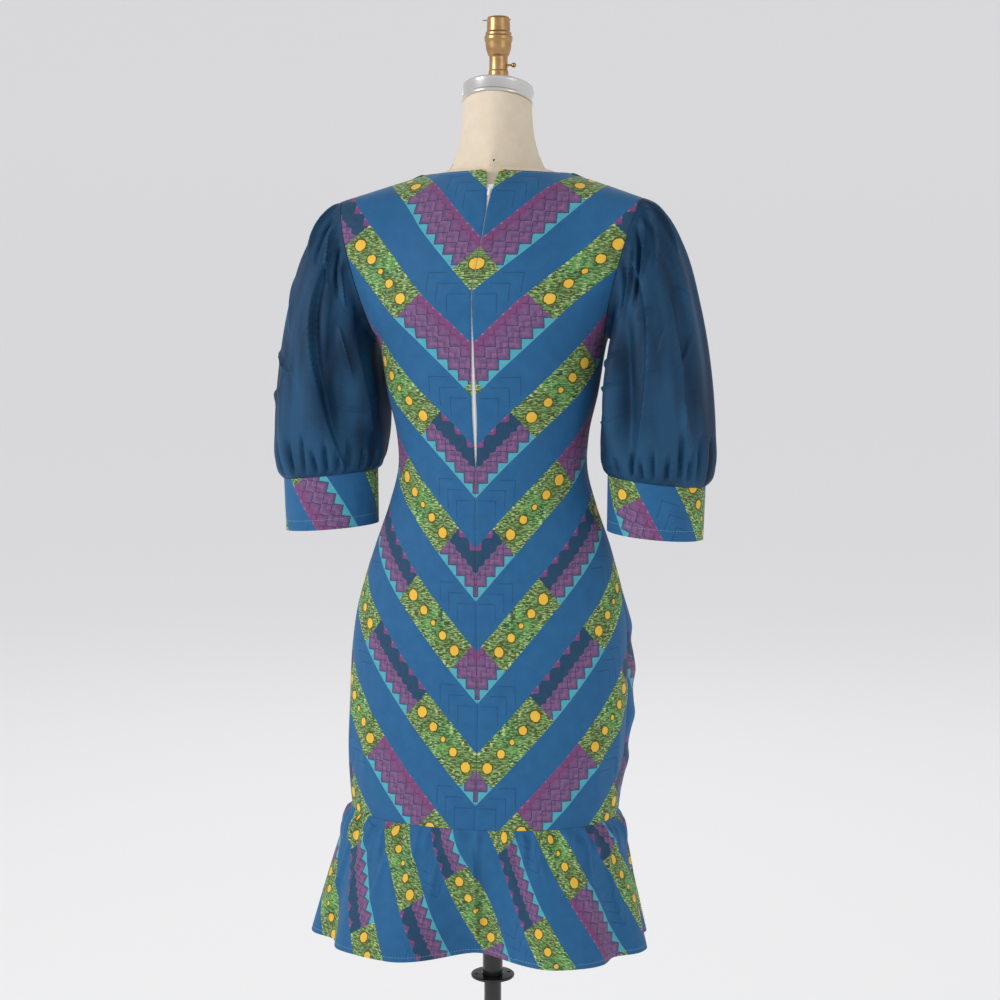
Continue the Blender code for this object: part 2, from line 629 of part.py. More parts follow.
def make_ruffle():
    """The gathered ruffle in two lengths, parted at the side seams."""
    angles = [2 * math.pi * i / RUFFLE_COLUMNS for i in range(RUFFLE_COLUMNS)]
    ring = np.array([[ruffle_point(angle, down) for angle in angles] for down in RUFFLE_ROWS])
    direction = tube_normals(ring)
    quarter = RUFFLE_COLUMNS // 4
    for name, start in (("ruffle_back", -quarter), ("ruffle_front", quarter)):
        take = [i % RUFFLE_COLUMNS for i in range(start, start + 2 * quarter + 1)]
        outer = ring[:, take].copy()
        inner = outer - WALL * direction[:, take]
        for points in (outer, inner):
            for edge in ("first_column", "last_column", "first_row"):
                part_seam(points, edge)
        cloth_wall(name, outer, inner, "print_cloth")


def tape_grids(grids, normals):
    """Zip tape faces, from the inner points of the two back panels, moved inward."""
    rows = [j for j, point in enumerate(grids[0][:, 0]) if ZIP_BOTTOM_Z - 0.001 < point[2] < 1.430]
    faces = []
    for depth in (TAPE_GAP, TAPE_GAP + TAPE_THICKNESS):
        face = []
        for j in rows:
            left, right = [], []
            for grid, normal, found in ((grids[0], normals[0], left), (grids[1], normals[1], right)):
                lift = ZIP_LIFT - WALL - depth
                ends = [grid[j, i] + lift * normal[j, i] for i in (0, 1)]
                found.extend([ends[0], (ends[0] + ends[1]) / 2])
            face.append([right[1], left[0], left[1]])
        faces.append(np.array(face))
    return faces


def make_zip(grids, normals):
    """Tape, slider at the bottom of the notch, and the pull that hangs from it."""
    tape_outer, tape_inner = tape_grids(grids, normals)
    cloth_wall("zip_tape", tape_outer, tape_inner, "zip_white")
    top = Vector(tape_outer[-1, 1])
    along = Vector(tape_outer[-1, 1]) - Vector(tape_outer[-2, 1])
    along = Vector((0.0, along.y, along.z)).normalized()
    across = Vector((1, 0, 0))
    out = across.cross(along).normalized()
    if out.y < 0:
        out = -out
    width, length, height = SLIDER_SIZE
    middle = top - along * 0.0025 + out * (CLEARANCE + height / 2)
    block("zip_slider", middle, (across, along, out), SLIDER_SIZE, 0.0006, "zip_white")
    axis_point = middle + out * (height / 2 + CLEARANCE + PULL_THICKNESS / 2) + along * (length / 2 - 0.0012)
    make_pull(axis_point, across, along, out)


def block(name, middle, frame, size, bevel, look):
    """A box with bevelled edges along three directions."""
    bm = bmesh.new()
    bmesh.ops.create_cube(bm, size=1.0)
    for vert in bm.verts:
        place = middle.copy()
        for direction, length, share in zip(frame, size, vert.co):
            place += direction * length * share
        vert.co = place
    bmesh.ops.recalc_face_normals(bm, faces=bm.faces[:])
    mesh = bpy.data.meshes.new(name)
    bm.to_mesh(mesh)
    bm.free()
    made = add_object(name, mesh, look)
    edge = made.modifiers.new("edge", "BEVEL")
    edge.width = bevel
    edge.segments = 2
    return made


def make_pull(pivot, across, along, out):
    """The teardrop pull: round about its hinge at the top, wider towards its lower end."""
    half = PULL_THICKNESS / 2
    outline = []
    for k in range(PULL_STEPS + 1):
        down = k / PULL_STEPS
        swell = 0.36 + 0.64 * math.sin(math.pi / 2 * min(1.0, down / PULL_WIDEST))
        if down > PULL_WIDEST:
            swell = math.sqrt(max(0.04, 1 - ((down - PULL_WIDEST) / (1 - PULL_WIDEST)) ** 2))
        outline.append((down * PULL_LENGTH, PULL_WIDTH / 2 * swell))
    rings = []
    for drop, width in outline:
        thick = half * (0.55 if drop == 0 else 1.0)
        at = pivot - along * (drop - half)
        rings.append([at + across * width + out * thick, at - across * width + out * thick,
                      at - across * width - out * thick, at + across * width - out * thick])
    points = [tuple(p) for ring in rings for p in ring]
    faces = [[4 * k + i, 4 * k + (i + 1) % 4, 4 * k + 4 + (i + 1) % 4, 4 * k + 4 + i]
             for k in range(len(rings) - 1) for i in range(4)]
    faces += [[0, 1, 2, 3], [4 * len(rings) - 4 + i for i in range(4)]]
    mesh = mesh_from("zip_pull", points, faces, smooth_shade=False)
    add_object("zip_pull", mesh, "zip_white")


def neck_ring_points(share, loop):
    """Points of the form's neck at a share of its height, over the points of its root loop."""
    tilt = np.array(((1, 0, 0), (0, math.cos(NECK_TILT), math.sin(NECK_TILT)),
                     (0, -math.sin(NECK_TILT), math.cos(NECK_TILT))))
    centre = loop.mean(axis=0)
    top = []
    for point in loop:
        angle = math.atan2(point[1] - centre[1], point[0] - centre[0])
        flat = np.array((math.cos(angle), math.sin(angle), 0.0)) * NECK_RADIUS
        top.append(tilt.T @ flat + np.array(NECK_TOP))
    top = np.array(top)
    waist = 1 - 0.06 * math.sin(math.pi * share)
    ring = (1 - share ** 0.7) * loop + share ** 0.7 * top
    height = (1 - share) * loop[:, 2] + share * top[:, 2]
    middle = ring.mean(axis=0)
    ring = middle + waist * (ring - middle)
    ring[:, 2] = height
    return ring


def make_form():
    """The limbless form: torso just inside the dress, arm plates, neck and flat underside."""
    plans = [("back", 1), ("back", -1), ("front", 1), ("front", -1)]
    grids = [body_grid(side, FORM_COLUMNS, FORM_ROWS_Z, neck_root_top, mirror, False) for side, mirror in plans]
    normals = shared_normals(grids, body_middle)
    insets = [FORM_INSET if z < UNDERARM_Z - 0.05 else SHOULDER_INSET for z in FORM_ROWS_Z]
    insets = np.array(insets + [SHOULDER_INSET] * (UPPER_ROWS + 1))[:, None, None]
    grids = [grid - insets * normal for grid, normal in zip(grids, normals)]
    points, faces = [], []

    def add_points(new):
        points.extend(tuple(p) for p in new)
        return len(points) - len(new)

    for grid in grids:
        rows, columns = grid.shape[:2]
        start = add_points(grid.reshape(-1, 3))
        for j in range(rows - 1):
            for i in range(columns - 1):
                corner = start + j * columns + i
                faces.append([corner, corner + 1, corner + columns + 1, corner + columns])

    def loop_of(pick):
        left = list(pick(grids[0])) + list(pick(grids[2]))[::-1]
        right = list(pick(grids[3])) + list(pick(grids[1]))[::-1]
        return np.array(left + right)

    def fan(loop, centre):
        start = add_points(list(loop) + [centre])
        count = len(loop)
        for i in range(count):
            if np.linalg.norm(loop[i] - loop[(i + 1) % count]) > 0.00001:
                faces.append([start + i, start + (i + 1) % count, start + count])

    def band(low, high):
        start, above = add_points(low), add_points(high)
        count = len(low)
        for i in range(count):
            after = (i + 1) % count
            if np.linalg.norm(low[i] - low[after]) > 0.00001:
                faces.append([start + i, start + after, above + after, above + i])

    bottom = loop_of(lambda grid: grid[0])
    centre = bottom.mean(axis=0)
    rim = centre + (bottom - centre) * 0.965
    rim[:, 2] = FORM_BOTTOM_Z
    band(rim, bottom)
    fan(rim, np.array((0.0, 0.0, FORM_BOTTOM_Z)))
    root_columns = FORM_COLUMNS.index(NECK_ROOT_SIDE) + 1
    root = loop_of(lambda grid: grid[-1, :root_columns])
    below = root
    for share in NECK_ROWS:
        ring = neck_ring_points(share, root)
        band(below, ring)
        below = ring
    fan(below, below.mean(axis=0))
    for back, front, mirror in ((grids[0], grids[2], 1), (grids[1], grids[3], -1)):
        loop = np.array(list(back[-UPPER_ROWS - 1:, -1]) + list(front[-UPPER_ROWS - 1:, -1][::-1]))
        fan(loop, loop.mean(axis=0) + np.array((mirror * 0.004, 0, 0)))
    add_object("form_body", mesh_from("form_body", points, faces), "linen")


def turned(name, profile, sides, look, collection=COLLECTION):
    """A turned solid from a profile of (radius, height) points, run down its outer side."""
    mesh = bpy.data.meshes.new(name)
    edges = [(i, i + 1) for i in range(len(profile) - 1)]
    mesh.from_pydata([(radius, 0.0, height) for radius, height in profile], edges, [])
    made = add_object(name, mesh, look, collection)
    screw = made.modifiers.new("turn", "SCREW")
    screw.axis = "Z"
    screw.angle = math.tau
    screw.steps = sides
    screw.render_steps = sides
    screw.use_merge_vertices = True
    screw.merge_threshold = 0.00001
    return made


def cut(target, cutter):
    """Take a hidden cutter's shape out of an object."""
    cutter.hide_render = True
    cutter.display_type = "WIRE"
    modifier = target.modifiers.new("cut", "BOOLEAN")
    modifier.operation = "DIFFERENCE"
    modifier.object = cutter


def cutter_cylinder(name, radius, low, high, x, y):
    cutter = turned(name, [(0.0, high), (radius, high), (radius, low), (0.0, low)], 12, "black_gloss", CUTTERS)
    cutter.location = (x, y, 0.0)
    return cutter


def make_neck_cap_and_finial():
    """The chrome cap on the neck, tilted with it, and the upright finial on its small plate."""
    normal = Vector((0.0, -math.sin(NECK_TILT), math.cos(NECK_TILT)))
    edge = CAP_RADIUS - CAP_BEVEL
    cap = turned("neck_ring", [(0.0, CAP_HEIGHT), (edge, CAP_HEIGHT), (CAP_RADIUS, CAP_HEIGHT - CAP_BEVEL),
                               (CAP_RADIUS, CAP_BEVEL), (edge, 0.0), (0.0, 0.0)], 40, "chrome")
    cap.rotation_euler = (NECK_TILT, 0.0, 0.0)
    cap.location = NECK_TOP + normal * CLEARANCE
    seat = NECK_TOP + normal * (2 * CLEARANCE + CAP_HEIGHT)
    plate = turned("finial_plate", [(0.0, PLATE_HEIGHT), (PLATE_RADIUS - 0.0008, PLATE_HEIGHT),
                                    (PLATE_RADIUS, PLATE_HEIGHT - 0.0008), (PLATE_RADIUS, 0.0), (0.0, 0.0)],
                   24, "antique_gold")
    plate.rotation_euler = (NECK_TILT, 0.0, 0.0)
    plate.location = seat
    finial = turned("finial", FINIAL_PROFILE, FINIAL_SIDES, "antique_gold")
    finial.location = (seat.x, seat.y, 0.0)
    bpy.ops.mesh.primitive_cube_add(size=0.1)
    wedge = bpy.context.object
    wedge.name = "finial_foot_cutter"
    for owner in list(wedge.users_collection):
        owner.objects.unlink(wedge)
    own_collection(CUTTERS).objects.link(wedge)
    wedge.rotation_euler = (NECK_TILT, 0.0, 0.0)
    wedge.location = seat + normal * (PLATE_HEIGHT + CLEARANCE - 0.05)
    cut(finial, wedge)
    bpy.ops.mesh.primitive_cylinder_add(vertices=8, radius=PIN_RADIUS, depth=0.0375,
                                        location=(seat.x + 0.0025, seat.y, PIN_Z), rotation=(0, math.pi / 2, 0))
    pin = bpy.context.object
    pin.name = "finial_pin_cutter"
    for owner in list(pin.users_collection):
        owner.objects.unlink(pin)
    own_collection(CUTTERS).objects.link(pin)
    cut(finial, pin)
    finial.modifiers[-1].operation = "UNION"
    radius = 0.0122 + CLEARANCE
    ball_end = SCREW_REACH + SCREW_BALL
    profile = [(0.0, ball_end)]
    for k in range(1, 8):
        angle = math.pi * k / 8
        if SCREW_BALL * math.sin(angle) > 0.0014 or k < 5:
            profile.append((SCREW_BALL * math.sin(angle), SCREW_REACH + SCREW_BALL * math.cos(angle)))
    profile += [(0.0014, SCREW_REACH - SCREW_BALL * 0.9), (0.0014, radius), (0.0, radius)]
    screw = turned("thumbscrew", profile, 12, "antique_gold")
    screw.rotation_euler = (0.0, -math.pi / 2, 0.0)
    screw.location = (seat.x, seat.y, SCREW_Z)


def make_stand():
    """The sliding post with its flange, the tube inside it, and a plain round base."""
    top = FORM_BOTTOM_Z - CLEARANCE
    flange_top = FLANGE_BOTTOM_Z + FLANGE_THICKNESS
    post = turned("post", [(0.0, top), (POST_RADIUS, top), (POST_RADIUS, flange_top + 0.0015),
                           (POST_RADIUS + 0.0020, flange_top), (FLANGE_RADIUS - 0.0008, flange_top),
                           (FLANGE_RADIUS, flange_top - 0.0008), (FLANGE_RADIUS, FLANGE_BOTTOM_Z + 0.0008),
                           (FLANGE_RADIUS - 0.0008, FLANGE_BOTTOM_Z), (POST_BORE, FLANGE_BOTTOM_Z),
                           (POST_BORE, top - POST_CAP), (0.0, top - POST_CAP)], 28, "black_gloss")
    for k in range(4):
        angle = math.radians(25 + 90 * k)
        hole = cutter_cylinder(f"flange_hole_cutter_{k}", FLANGE_HOLE_RADIUS, FLANGE_BOTTOM_Z - 0.002,
                               flange_top + 0.002, FLANGE_HOLE_CIRCLE * math.cos(angle),
                               FLANGE_HOLE_CIRCLE * math.sin(angle))
        cut(post, hole)
    turned("stand_tube", [(0.0, TUBE_TOP_Z), (TUBE_RADIUS - 0.001, TUBE_TOP_Z), (TUBE_RADIUS, TUBE_TOP_Z - 0.001),
                          (TUBE_RADIUS, HUB_TOP_Z + CLEARANCE), (0.0, HUB_TOP_Z + CLEARANCE)], 28, "black_gloss")
    turned("base", [(0.0, HUB_TOP_Z), (HUB_RADIUS - 0.002, HUB_TOP_Z), (HUB_RADIUS, HUB_TOP_Z - 0.002),
                    (HUB_RADIUS + 0.002, 0.030), (HUB_RADIUS + 0.012, 0.0215), (0.120, 0.0170), (0.192, 0.0115),
                    (BASE_RADIUS, 0.0055), (BASE_RADIUS, 0.0012), (BASE_RADIUS - 0.0012, 0.0), (0.0, 0.0)],
           40, "black_gloss")


def main():
    for thing in list(bpy.data.objects):
        bpy.data.objects.remove(thing, do_unlink=True)
    grids, normals = make_panels()
    make_sleeves(grids)
    make_ruffle()
    make_zip(grids, normals)
    make_form()
    make_neck_cap_and_finial()
    make_stand()


main()
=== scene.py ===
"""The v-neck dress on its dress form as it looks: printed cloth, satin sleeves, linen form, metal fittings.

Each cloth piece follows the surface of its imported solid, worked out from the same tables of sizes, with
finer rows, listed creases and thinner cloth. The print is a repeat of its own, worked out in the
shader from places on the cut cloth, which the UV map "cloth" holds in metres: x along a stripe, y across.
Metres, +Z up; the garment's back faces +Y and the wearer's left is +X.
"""
import math
from collections import namedtuple

import bmesh
import bpy
import numpy as np
from mathutils import Matrix, Vector


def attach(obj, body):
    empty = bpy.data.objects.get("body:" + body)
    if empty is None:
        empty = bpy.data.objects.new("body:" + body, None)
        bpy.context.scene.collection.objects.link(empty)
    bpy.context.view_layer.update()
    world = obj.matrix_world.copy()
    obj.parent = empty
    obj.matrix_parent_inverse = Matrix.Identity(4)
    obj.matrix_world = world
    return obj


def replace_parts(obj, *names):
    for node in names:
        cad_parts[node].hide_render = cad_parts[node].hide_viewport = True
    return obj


# Cloth and fits
SEAM_GAP = 0.00018
CLEARANCE = 0.0003
FORM_INSET = 0.0027
SHOULDER_INSET = 0.0046

# Levels of the dress above the floor
SEAM_Z = 0.595
UNDERARM_Z = 1.224
HEM_Z = 0.421
FORM_BOTTOM_Z = 0.680
ZIP_BOTTOM_Z = 0.905

# Rings of the dress from the ruffle seam to the underarm: half width at the sides, depth behind and in
# front of the side seams, squareness of the section, and how far the ring hangs towards +X
Ring = namedtuple("Ring", "z half_width back front squareness shift")
RINGS = [
    Ring(0.595, 0.181, 0.124, 0.118, 2.15, 0.011),
    Ring(0.660, 0.187, 0.119, 0.116, 2.20, 0.010),
    Ring(0.735, 0.189, 0.114, 0.114, 2.20, 0.006),
    Ring(0.815, 0.187, 0.110, 0.112, 2.15, 0.004),
    Ring(0.870, 0.181, 0.108, 0.110, 2.10, 0.002),
    Ring(0.915, 0.169, 0.104, 0.106, 2.05, 0.001),
    Ring(0.960, 0.155, 0.099, 0.101, 2.00, 0.000),
    Ring(1.005, 0.139, 0.095, 0.094, 2.00, 0.000),
    Ring(1.055, 0.1265, 0.094, 0.090, 2.00, 0.000),
    Ring(1.095, 0.128, 0.097, 0.096, 2.05, 0.000),
    Ring(1.140, 0.137, 0.103, 0.110, 2.15, 0.000),
    Ring(1.185, 0.146, 0.109, 0.121, 2.25, 0.000),
    Ring(1.224, 0.152, 0.112, 0.122, 2.30, 0.000),
]

# Middle line of the back and of the front above the underarm, up to the root of the neck
Profile = namedtuple("Profile", "z y")
NECK_ROOT_Z = 1.465
BACK_PROFILE = [Profile(1.224, 0.112), Profile(1.275, 0.116), Profile(1.325, 0.107),
                Profile(1.370, 0.089), Profile(1.405, 0.068), Profile(1.441, 0.040),
                Profile(NECK_ROOT_Z, -0.020)]
FRONT_PROFILE = [Profile(1.224, -0.122), Profile(1.270, -0.119), Profile(1.310, -0.110),
                 Profile(1.350, -0.098), Profile(1.390, -0.083), Profile(1.425, -0.064),
                 Profile(NECK_ROOT_Z, -0.020)]

# How far the centre-back seam strays towards +X from the middle of the body
Stray = namedtuple("Stray", "z x")
BACK_SEAM = [Stray(0.595, -0.0160), Stray(0.660, -0.0158), Stray(0.735, -0.0125), Stray(0.815, -0.0085),
             Stray(0.870, -0.0055), Stray(0.915, -0.0030), Stray(0.960, -0.0008), Stray(1.005, 0.0),
             Stray(1.280, 0.0), Stray(1.352, -0.0065), Stray(1.4135, -0.0095), Stray(1.441, -0.0095),
             Stray(NECK_ROOT_Z, 0.0)]

# Shoulder line from the root of the neck (0) to the shoulder tip (1); the neckline ends at 0.5
Shoulder = namedtuple("Shoulder", "across x y z")
SHOULDER_LINE = [Shoulder(0.0, 0.000, -0.020, NECK_ROOT_Z), Shoulder(0.25, 0.049, -0.026, 1.4545),
                 Shoulder(0.5, 0.098, -0.028, 1.4385), Shoulder(0.75, 0.150, -0.013, 1.4215),
                 Shoulder(1.0, 0.200, 0.005, 1.404)]
NECK_SIDE = 0.5
NECK_BACK_Z = 1.441
NECK_POINT_Z = 1.4385
V_POINT_Z = 1.322

# Sleeve rings, each an ellipse through an outer and an inner point: place along the sleeve (0 at the
# armhole, 1 at the cuff seam), outer and inner points, half depth, middle in Y, gather height
Sleeve = namedtuple("Sleeve", "along out_x out_z in_x in_z depth mid_y gather")
SLEEVE_RINGS = [
    Sleeve(0.00, 0.2000, 1.4040, 0.1520, 1.2240, 0.0580, 0.005, 0.0000),
    Sleeve(0.06, 0.2140, 1.3980, 0.1580, 1.2230, 0.0610, 0.006, 0.0022),
    Sleeve(0.14, 0.2320, 1.3790, 0.1590, 1.2080, 0.0640, 0.007, 0.0036),
    Sleeve(0.28, 0.2580, 1.3290, 0.1555, 1.1800, 0.0675, 0.009, 0.0034),
    Sleeve(0.44, 0.2770, 1.2580, 0.1515, 1.1480, 0.0700, 0.010, 0.0024),
    Sleeve(0.60, 0.2890, 1.1900, 0.1490, 1.1180, 0.0720, 0.010, 0.0020),
    Sleeve(0.76, 0.2955, 1.1200, 0.1480, 1.0900, 0.0735, 0.010, 0.0022),
    Sleeve(0.89, 0.2970, 1.0690, 0.1490, 1.0650, 0.0720, 0.010, 0.0028),
    Sleeve(0.96, 0.2925, 1.0440, 0.1525, 1.0530, 0.0660, 0.010, 0.0024),
    Sleeve(1.00, 0.2840, 1.0350, 0.1570, 1.0490, 0.0600, 0.010, 0.0000),
]
SLEEVE_ROWS = [0.0, 0.055, 0.13, 0.25, 0.42, 0.62, 0.80, 0.91, 0.97, 1.0]
# Folds of the puffed cloth: how many lie round the sleeve, the share of the gather height, and where they
# start
SleeveFold = namedtuple("SleeveFold", "count share turn")
SLEEVE_FOLDS = [SleeveFold(12, 0.20, 0.2), SleeveFold(7, 0.15, 1.3), SleeveFold(3, 0.25, 2.4)]

# Cuff: lower edge, its outer and inner points, and half depth
CUFF_OUT = (0.2815, 0.9660)
CUFF_IN = (0.1565, 0.9765)
CUFF_DEPTH = 0.0605

# Ruffle: its hem ring, and the folds, a row for each: where it is round the hem (degrees from the
# middle of the back towards +X), half the angle that it takes, and how far its crest stands out
HEM_RING = Ring(HEM_Z, 0.224, 0.149, 0.142, 2.10, 0.017)
RUFFLE_GATHERS = 30
FOLD_REACH = 1.6
Fold = namedtuple("Fold", "angle spread depth")
RUFFLE_FOLDS = [
    Fold(-6, 17, -0.058), Fold(17, 14, 0.012), Fold(40, 15, 0.013), Fold(57, 9, -0.010),
    Fold(74, 13, 0.010), Fold(93, 9, -0.013), Fold(109, 12, 0.012), Fold(127, 10, -0.012),
    Fold(144, 13, 0.011), Fold(161, 9, -0.014), Fold(178, 13, 0.013), Fold(196, 10, -0.012),
    Fold(212, 12, 0.012), Fold(229, 9, -0.013), Fold(246, 12, 0.010), Fold(263, 9, -0.012),
    Fold(280, 12, 0.010), Fold(297, 8, -0.008), Fold(316, 15, 0.015), Fold(334, 10, 0.006),
]

# Small tucks where the front skirt is eased into its side seams
TUCK_TOP_Z = 0.885
TUCK_BOTTOM_Z = 0.625
TUCK_COUNT = 4
TUCK_HEIGHT = 0.0042
TUCK_SWELL = 0.005

# Zip: half the gap between the back panels at each height, the lift of the cloth over the tape
Gap = namedtuple("Gap", "z half")
ZIP_GAPS = [Gap(0.595, 0.0), Gap(0.905, 0.0), Gap(1.055, 0.0002), Gap(1.085, 0.0016), Gap(1.130, 0.0028),
            Gap(1.180, 0.0022), Gap(1.270, 0.0004), Gap(1.386, 0.0004), Gap(1.4135, 0.0034),
            Gap(1.441, 0.0085)]
ZIP_LIFT = 0.0009

# Grids: places round a quarter of the body, and rows
QUARTER = 10
BODICE_ROWS_Z = (0.955, 1.005, 1.055, 1.100, 1.150)
BACK_ROWS_Z = (0.595, 0.665, 0.740, 0.815, 0.862, 0.905) + BODICE_ROWS_Z
FRONT_ROWS_Z = (0.595,) + tuple(0.625 + 0.020 * k for k in range(14)) + (0.920,) + BODICE_ROWS_Z
FORM_ROWS_Z = (0.700, 0.740, 0.815, 0.862, 0.905) + BODICE_ROWS_Z
UPPER_ROWS = 8

# Form: neck, cap, finial
NECK_ROOT_SIDE = 0.34
NECK_ROOT_BACK_Z = 1.449
NECK_ROOT_FRONT_Z = 1.424
NECK_TOP = Vector((0.0, -0.0290, 1.5300))
NECK_TILT = math.radians(17.0)
NECK_RADIUS = 0.0462
CAP_RADIUS = 0.0473
CAP_HEIGHT = 0.0210
CAP_LIP = 0.0035
CAP_GROOVE = 0.0006
PLATE_RADIUS = 0.0165
PLATE_HEIGHT = 0.0030
FINIAL_PROFILE = [(0.0, 1.6430), (0.0135, 1.6430), (0.0150, 1.6405), (0.0155, 1.6240), (0.0172, 1.6225),
                  (0.0172, 1.6190), (0.0186, 1.6175), (0.0186, 1.6130), (0.0176, 1.6110), (0.0165, 1.6010),
                  (0.0140, 1.5935), (0.0122, 1.5910), (0.0122, 1.5740), (0.0132, 1.5725), (0.0132, 1.5440),
                  (0.0, 1.5440)]
FINIAL_FOOT_Z = 1.55
FINIAL_LIFT = 0.0018
PIN_RADIUS = 0.0008
PIN_Z = 1.6385
PIN_LENGTH = 0.0375
PIN_ASIDE = 0.0025
SCREW_Z = 1.5800
SCREW_REACH = 0.0205
SCREW_BALL = 0.0034
SCREW_STEM = 0.0014
SCREW_START = 0.0125

# Stand
TUBE_RADIUS = 0.0116
TUBE_TOP_Z = 0.5400
BASE_RADIUS = 0.2000
HUB_TOP_Z = 0.0560
HUB_RADIUS = 0.0240
BASE_PROFILE = [(0.0, HUB_TOP_Z), (HUB_RADIUS, HUB_TOP_Z), (HUB_RADIUS + 0.002, 0.030),
                (HUB_RADIUS + 0.012, 0.0215), (0.120, 0.0170), (0.192, 0.0115), (BASE_RADIUS, 0.0055),
                (BASE_RADIUS, 0.0), (0.0, 0.0)]
TURNED_SHARP = 35


def cubic(t, width, low, high, low_slope, high_slope):
    """A curve between two points with a given slope at each; t runs from 0 to 1 over the width."""
    return ((2 * t ** 3 - 3 * t ** 2 + 1) * low + (t ** 3 - 2 * t ** 2 + t) * width * low_slope
            + (3 * t ** 2 - 2 * t ** 3) * high + (t ** 3 - t ** 2) * width * high_slope)


def smooth(rows, key, column, place):
    """Read a table's column at a place, on a smooth curve that never overshoots its rows."""
    at = [getattr(row, key) for row in rows]
    values = [getattr(row, column) for row in rows]
    if at[0] > at[-1]:
        at, values = at[::-1], values[::-1]
    place = min(max(place, at[0]), at[-1])
    steps = [(values[i + 1] - values[i]) / (at[i + 1] - at[i]) for i in range(len(at) - 1)]
    slopes = [steps[0]]
    for before, after in zip(steps, steps[1:]):
        slopes.append(2 * before * after / (before + after) if before * after > 0 else 0.0)
    slopes.append(steps[-1])
    i = min(max(i for i in range(len(at)) if at[i] <= place), len(at) - 2)
    width = at[i + 1] - at[i]
    return cubic((place - at[i]) / width, width, values[i], values[i + 1], slopes[i], slopes[i + 1])


def ease(value):
    """A soft step from 0 to 1."""
    value = min(max(value, 0.0), 1.0)
    return value * value * (3 - 2 * value)


def rounded(value, squareness):
    return math.copysign(abs(value) ** (2 / squareness), value)


def ring_point(angle, ring, z):
    """A point of a body ring; angle is 0 at the middle of the back and 90 degrees at +X."""
    depth = ring["back"] if math.cos(angle) >= 0 else ring["front"]
    return np.array((ring["half_width"] * rounded(math.sin(angle), ring["squareness"]) + ring["shift"],
                     depth * rounded(math.cos(angle), ring["squareness"]), z))


def body_ring(z):
    return {name: smooth(RINGS, "z", name, z) for name in Ring._fields[1:]}


def tuck_height(across, z):
    """How far the tucks beside the front side seams stand out."""
    if not TUCK_BOTTOM_Z < z < TUCK_TOP_Z:
        return 0.0
    down = (TUCK_TOP_Z - z) / (TUCK_TOP_Z - TUCK_BOTTOM_Z)
    wave = 0.5 - 0.5 * math.cos(2 * math.pi * TUCK_COUNT * (down + 0.10 * (1 - across)))
    near_seam = ease((across - 0.45) / 0.4) * ease((1.0 - across) / 0.10)
    swell = TUCK_SWELL * math.sin(math.pi * down)
    return near_seam * (swell + TUCK_HEIGHT * wave * ease(down * 6) * ease((1 - down) * 6))


def seam_turn(ring, z, stray):
    """The angle of the centre-back seam on a ring; stray is 1 or -1 for a panel at +X or -X, 0 without it."""
    away = stray * smooth(BACK_SEAM, "z", "x", z) / ring["half_width"]
    return math.asin(math.copysign(abs(away) ** (ring["squareness"] / 2), away))


def lower_point(side, across, z, stray=0, tucked=False):
    """A point of the dress below the underarm; across is 0 at the middle and 1 at the side seam."""
    ring = body_ring(z)
    if side == "back":
        start = seam_turn(ring, z, stray)
        return ring_point(start + across * (math.pi / 2 - start), ring, z)
    grow = tuck_height(across, z) if tucked else 0.0
    for name in ("half_width", "front"):
        ring[name] += grow
    return ring_point(math.pi - across * math.pi / 2, ring, z)


def armhole_point(side, up):
    """A point of the armhole; up is 0 at the underarm and 1 at the shoulder tip."""
    turn = math.pi * (1 - up)
    return sleeve_ring_point(turn if side == "back" else -turn, 0.0)


def middle_point(side, up):
    profile = BACK_PROFILE if side == "back" else FRONT_PROFILE
    z = UNDERARM_Z + up * (NECK_ROOT_Z - UNDERARM_Z)
    return np.array((0.0, smooth(profile, "z", "y", z), z))


def shoulder_point(across):
    return np.array([smooth(SHOULDER_LINE, "across", name, across) for name in ("x", "y", "z")])


def upper_point(side, across, up, stray=0):
    """A point above the underarm, on a patch between underarm ring, shoulder line, middle and armhole."""
    if side == "back" and stray:
        z = UNDERARM_Z + up * (NECK_ROOT_Z - UNDERARM_Z)
        start = stray * smooth(BACK_SEAM, "z", "x", z) / SHOULDER_LINE[-1].x
        place = start + across * (1 - start)
        return upper_point(side, abs(place), up) * np.array((math.copysign(1.0, place), 1.0, 1.0))
    weight = ease(up) if up < 1 else 1.0
    low, high = lower_point(side, across, UNDERARM_Z), shoulder_point(across)
    middle, armhole = middle_point(side, up), armhole_point(side, up)
    corner_middle = (1 - weight) * middle_point(side, 0) + weight * middle_point(side, 1)
    corner_armhole = (1 - weight) * armhole_point(side, 0) + weight * armhole_point(side, 1)
    return ((1 - weight) * low + weight * high + (1 - across) * (middle - corner_middle)
            + across * (armhole - corner_armhole))


def height_on_patch(side, across, z, stray):
    """How far up the patch a column reaches a height."""
    low, high = 0.0, 1.0
    for _ in range(40):
        half = (low + high) / 2
        if upper_point(side, across, half, stray)[2] < z:
            low = half
        else:
            high = half
    return high


def neckline_top(side, across, stray):
    """The end of a panel's column: on the neckline, or on the shoulder seam beyond it."""
    if across >= NECK_SIDE:
        return 1.0
    start = NECK_BACK_Z if side == "back" else V_POINT_Z
    return height_on_patch(side, across, start + (NECK_POINT_Z - start) * across / NECK_SIDE, stray)


def neck_root_top(side, across, stray):
    """The end of a column of the form: on the root of its neck, or on the shoulder line."""
    if across >= NECK_ROOT_SIDE:
        return 1.0
    start = NECK_ROOT_BACK_Z if side == "back" else NECK_ROOT_FRONT_Z
    end = shoulder_point(NECK_ROOT_SIDE)[2]
    return height_on_patch(side, across, start + (end - start) * (across / NECK_ROOT_SIDE) ** 2, stray)


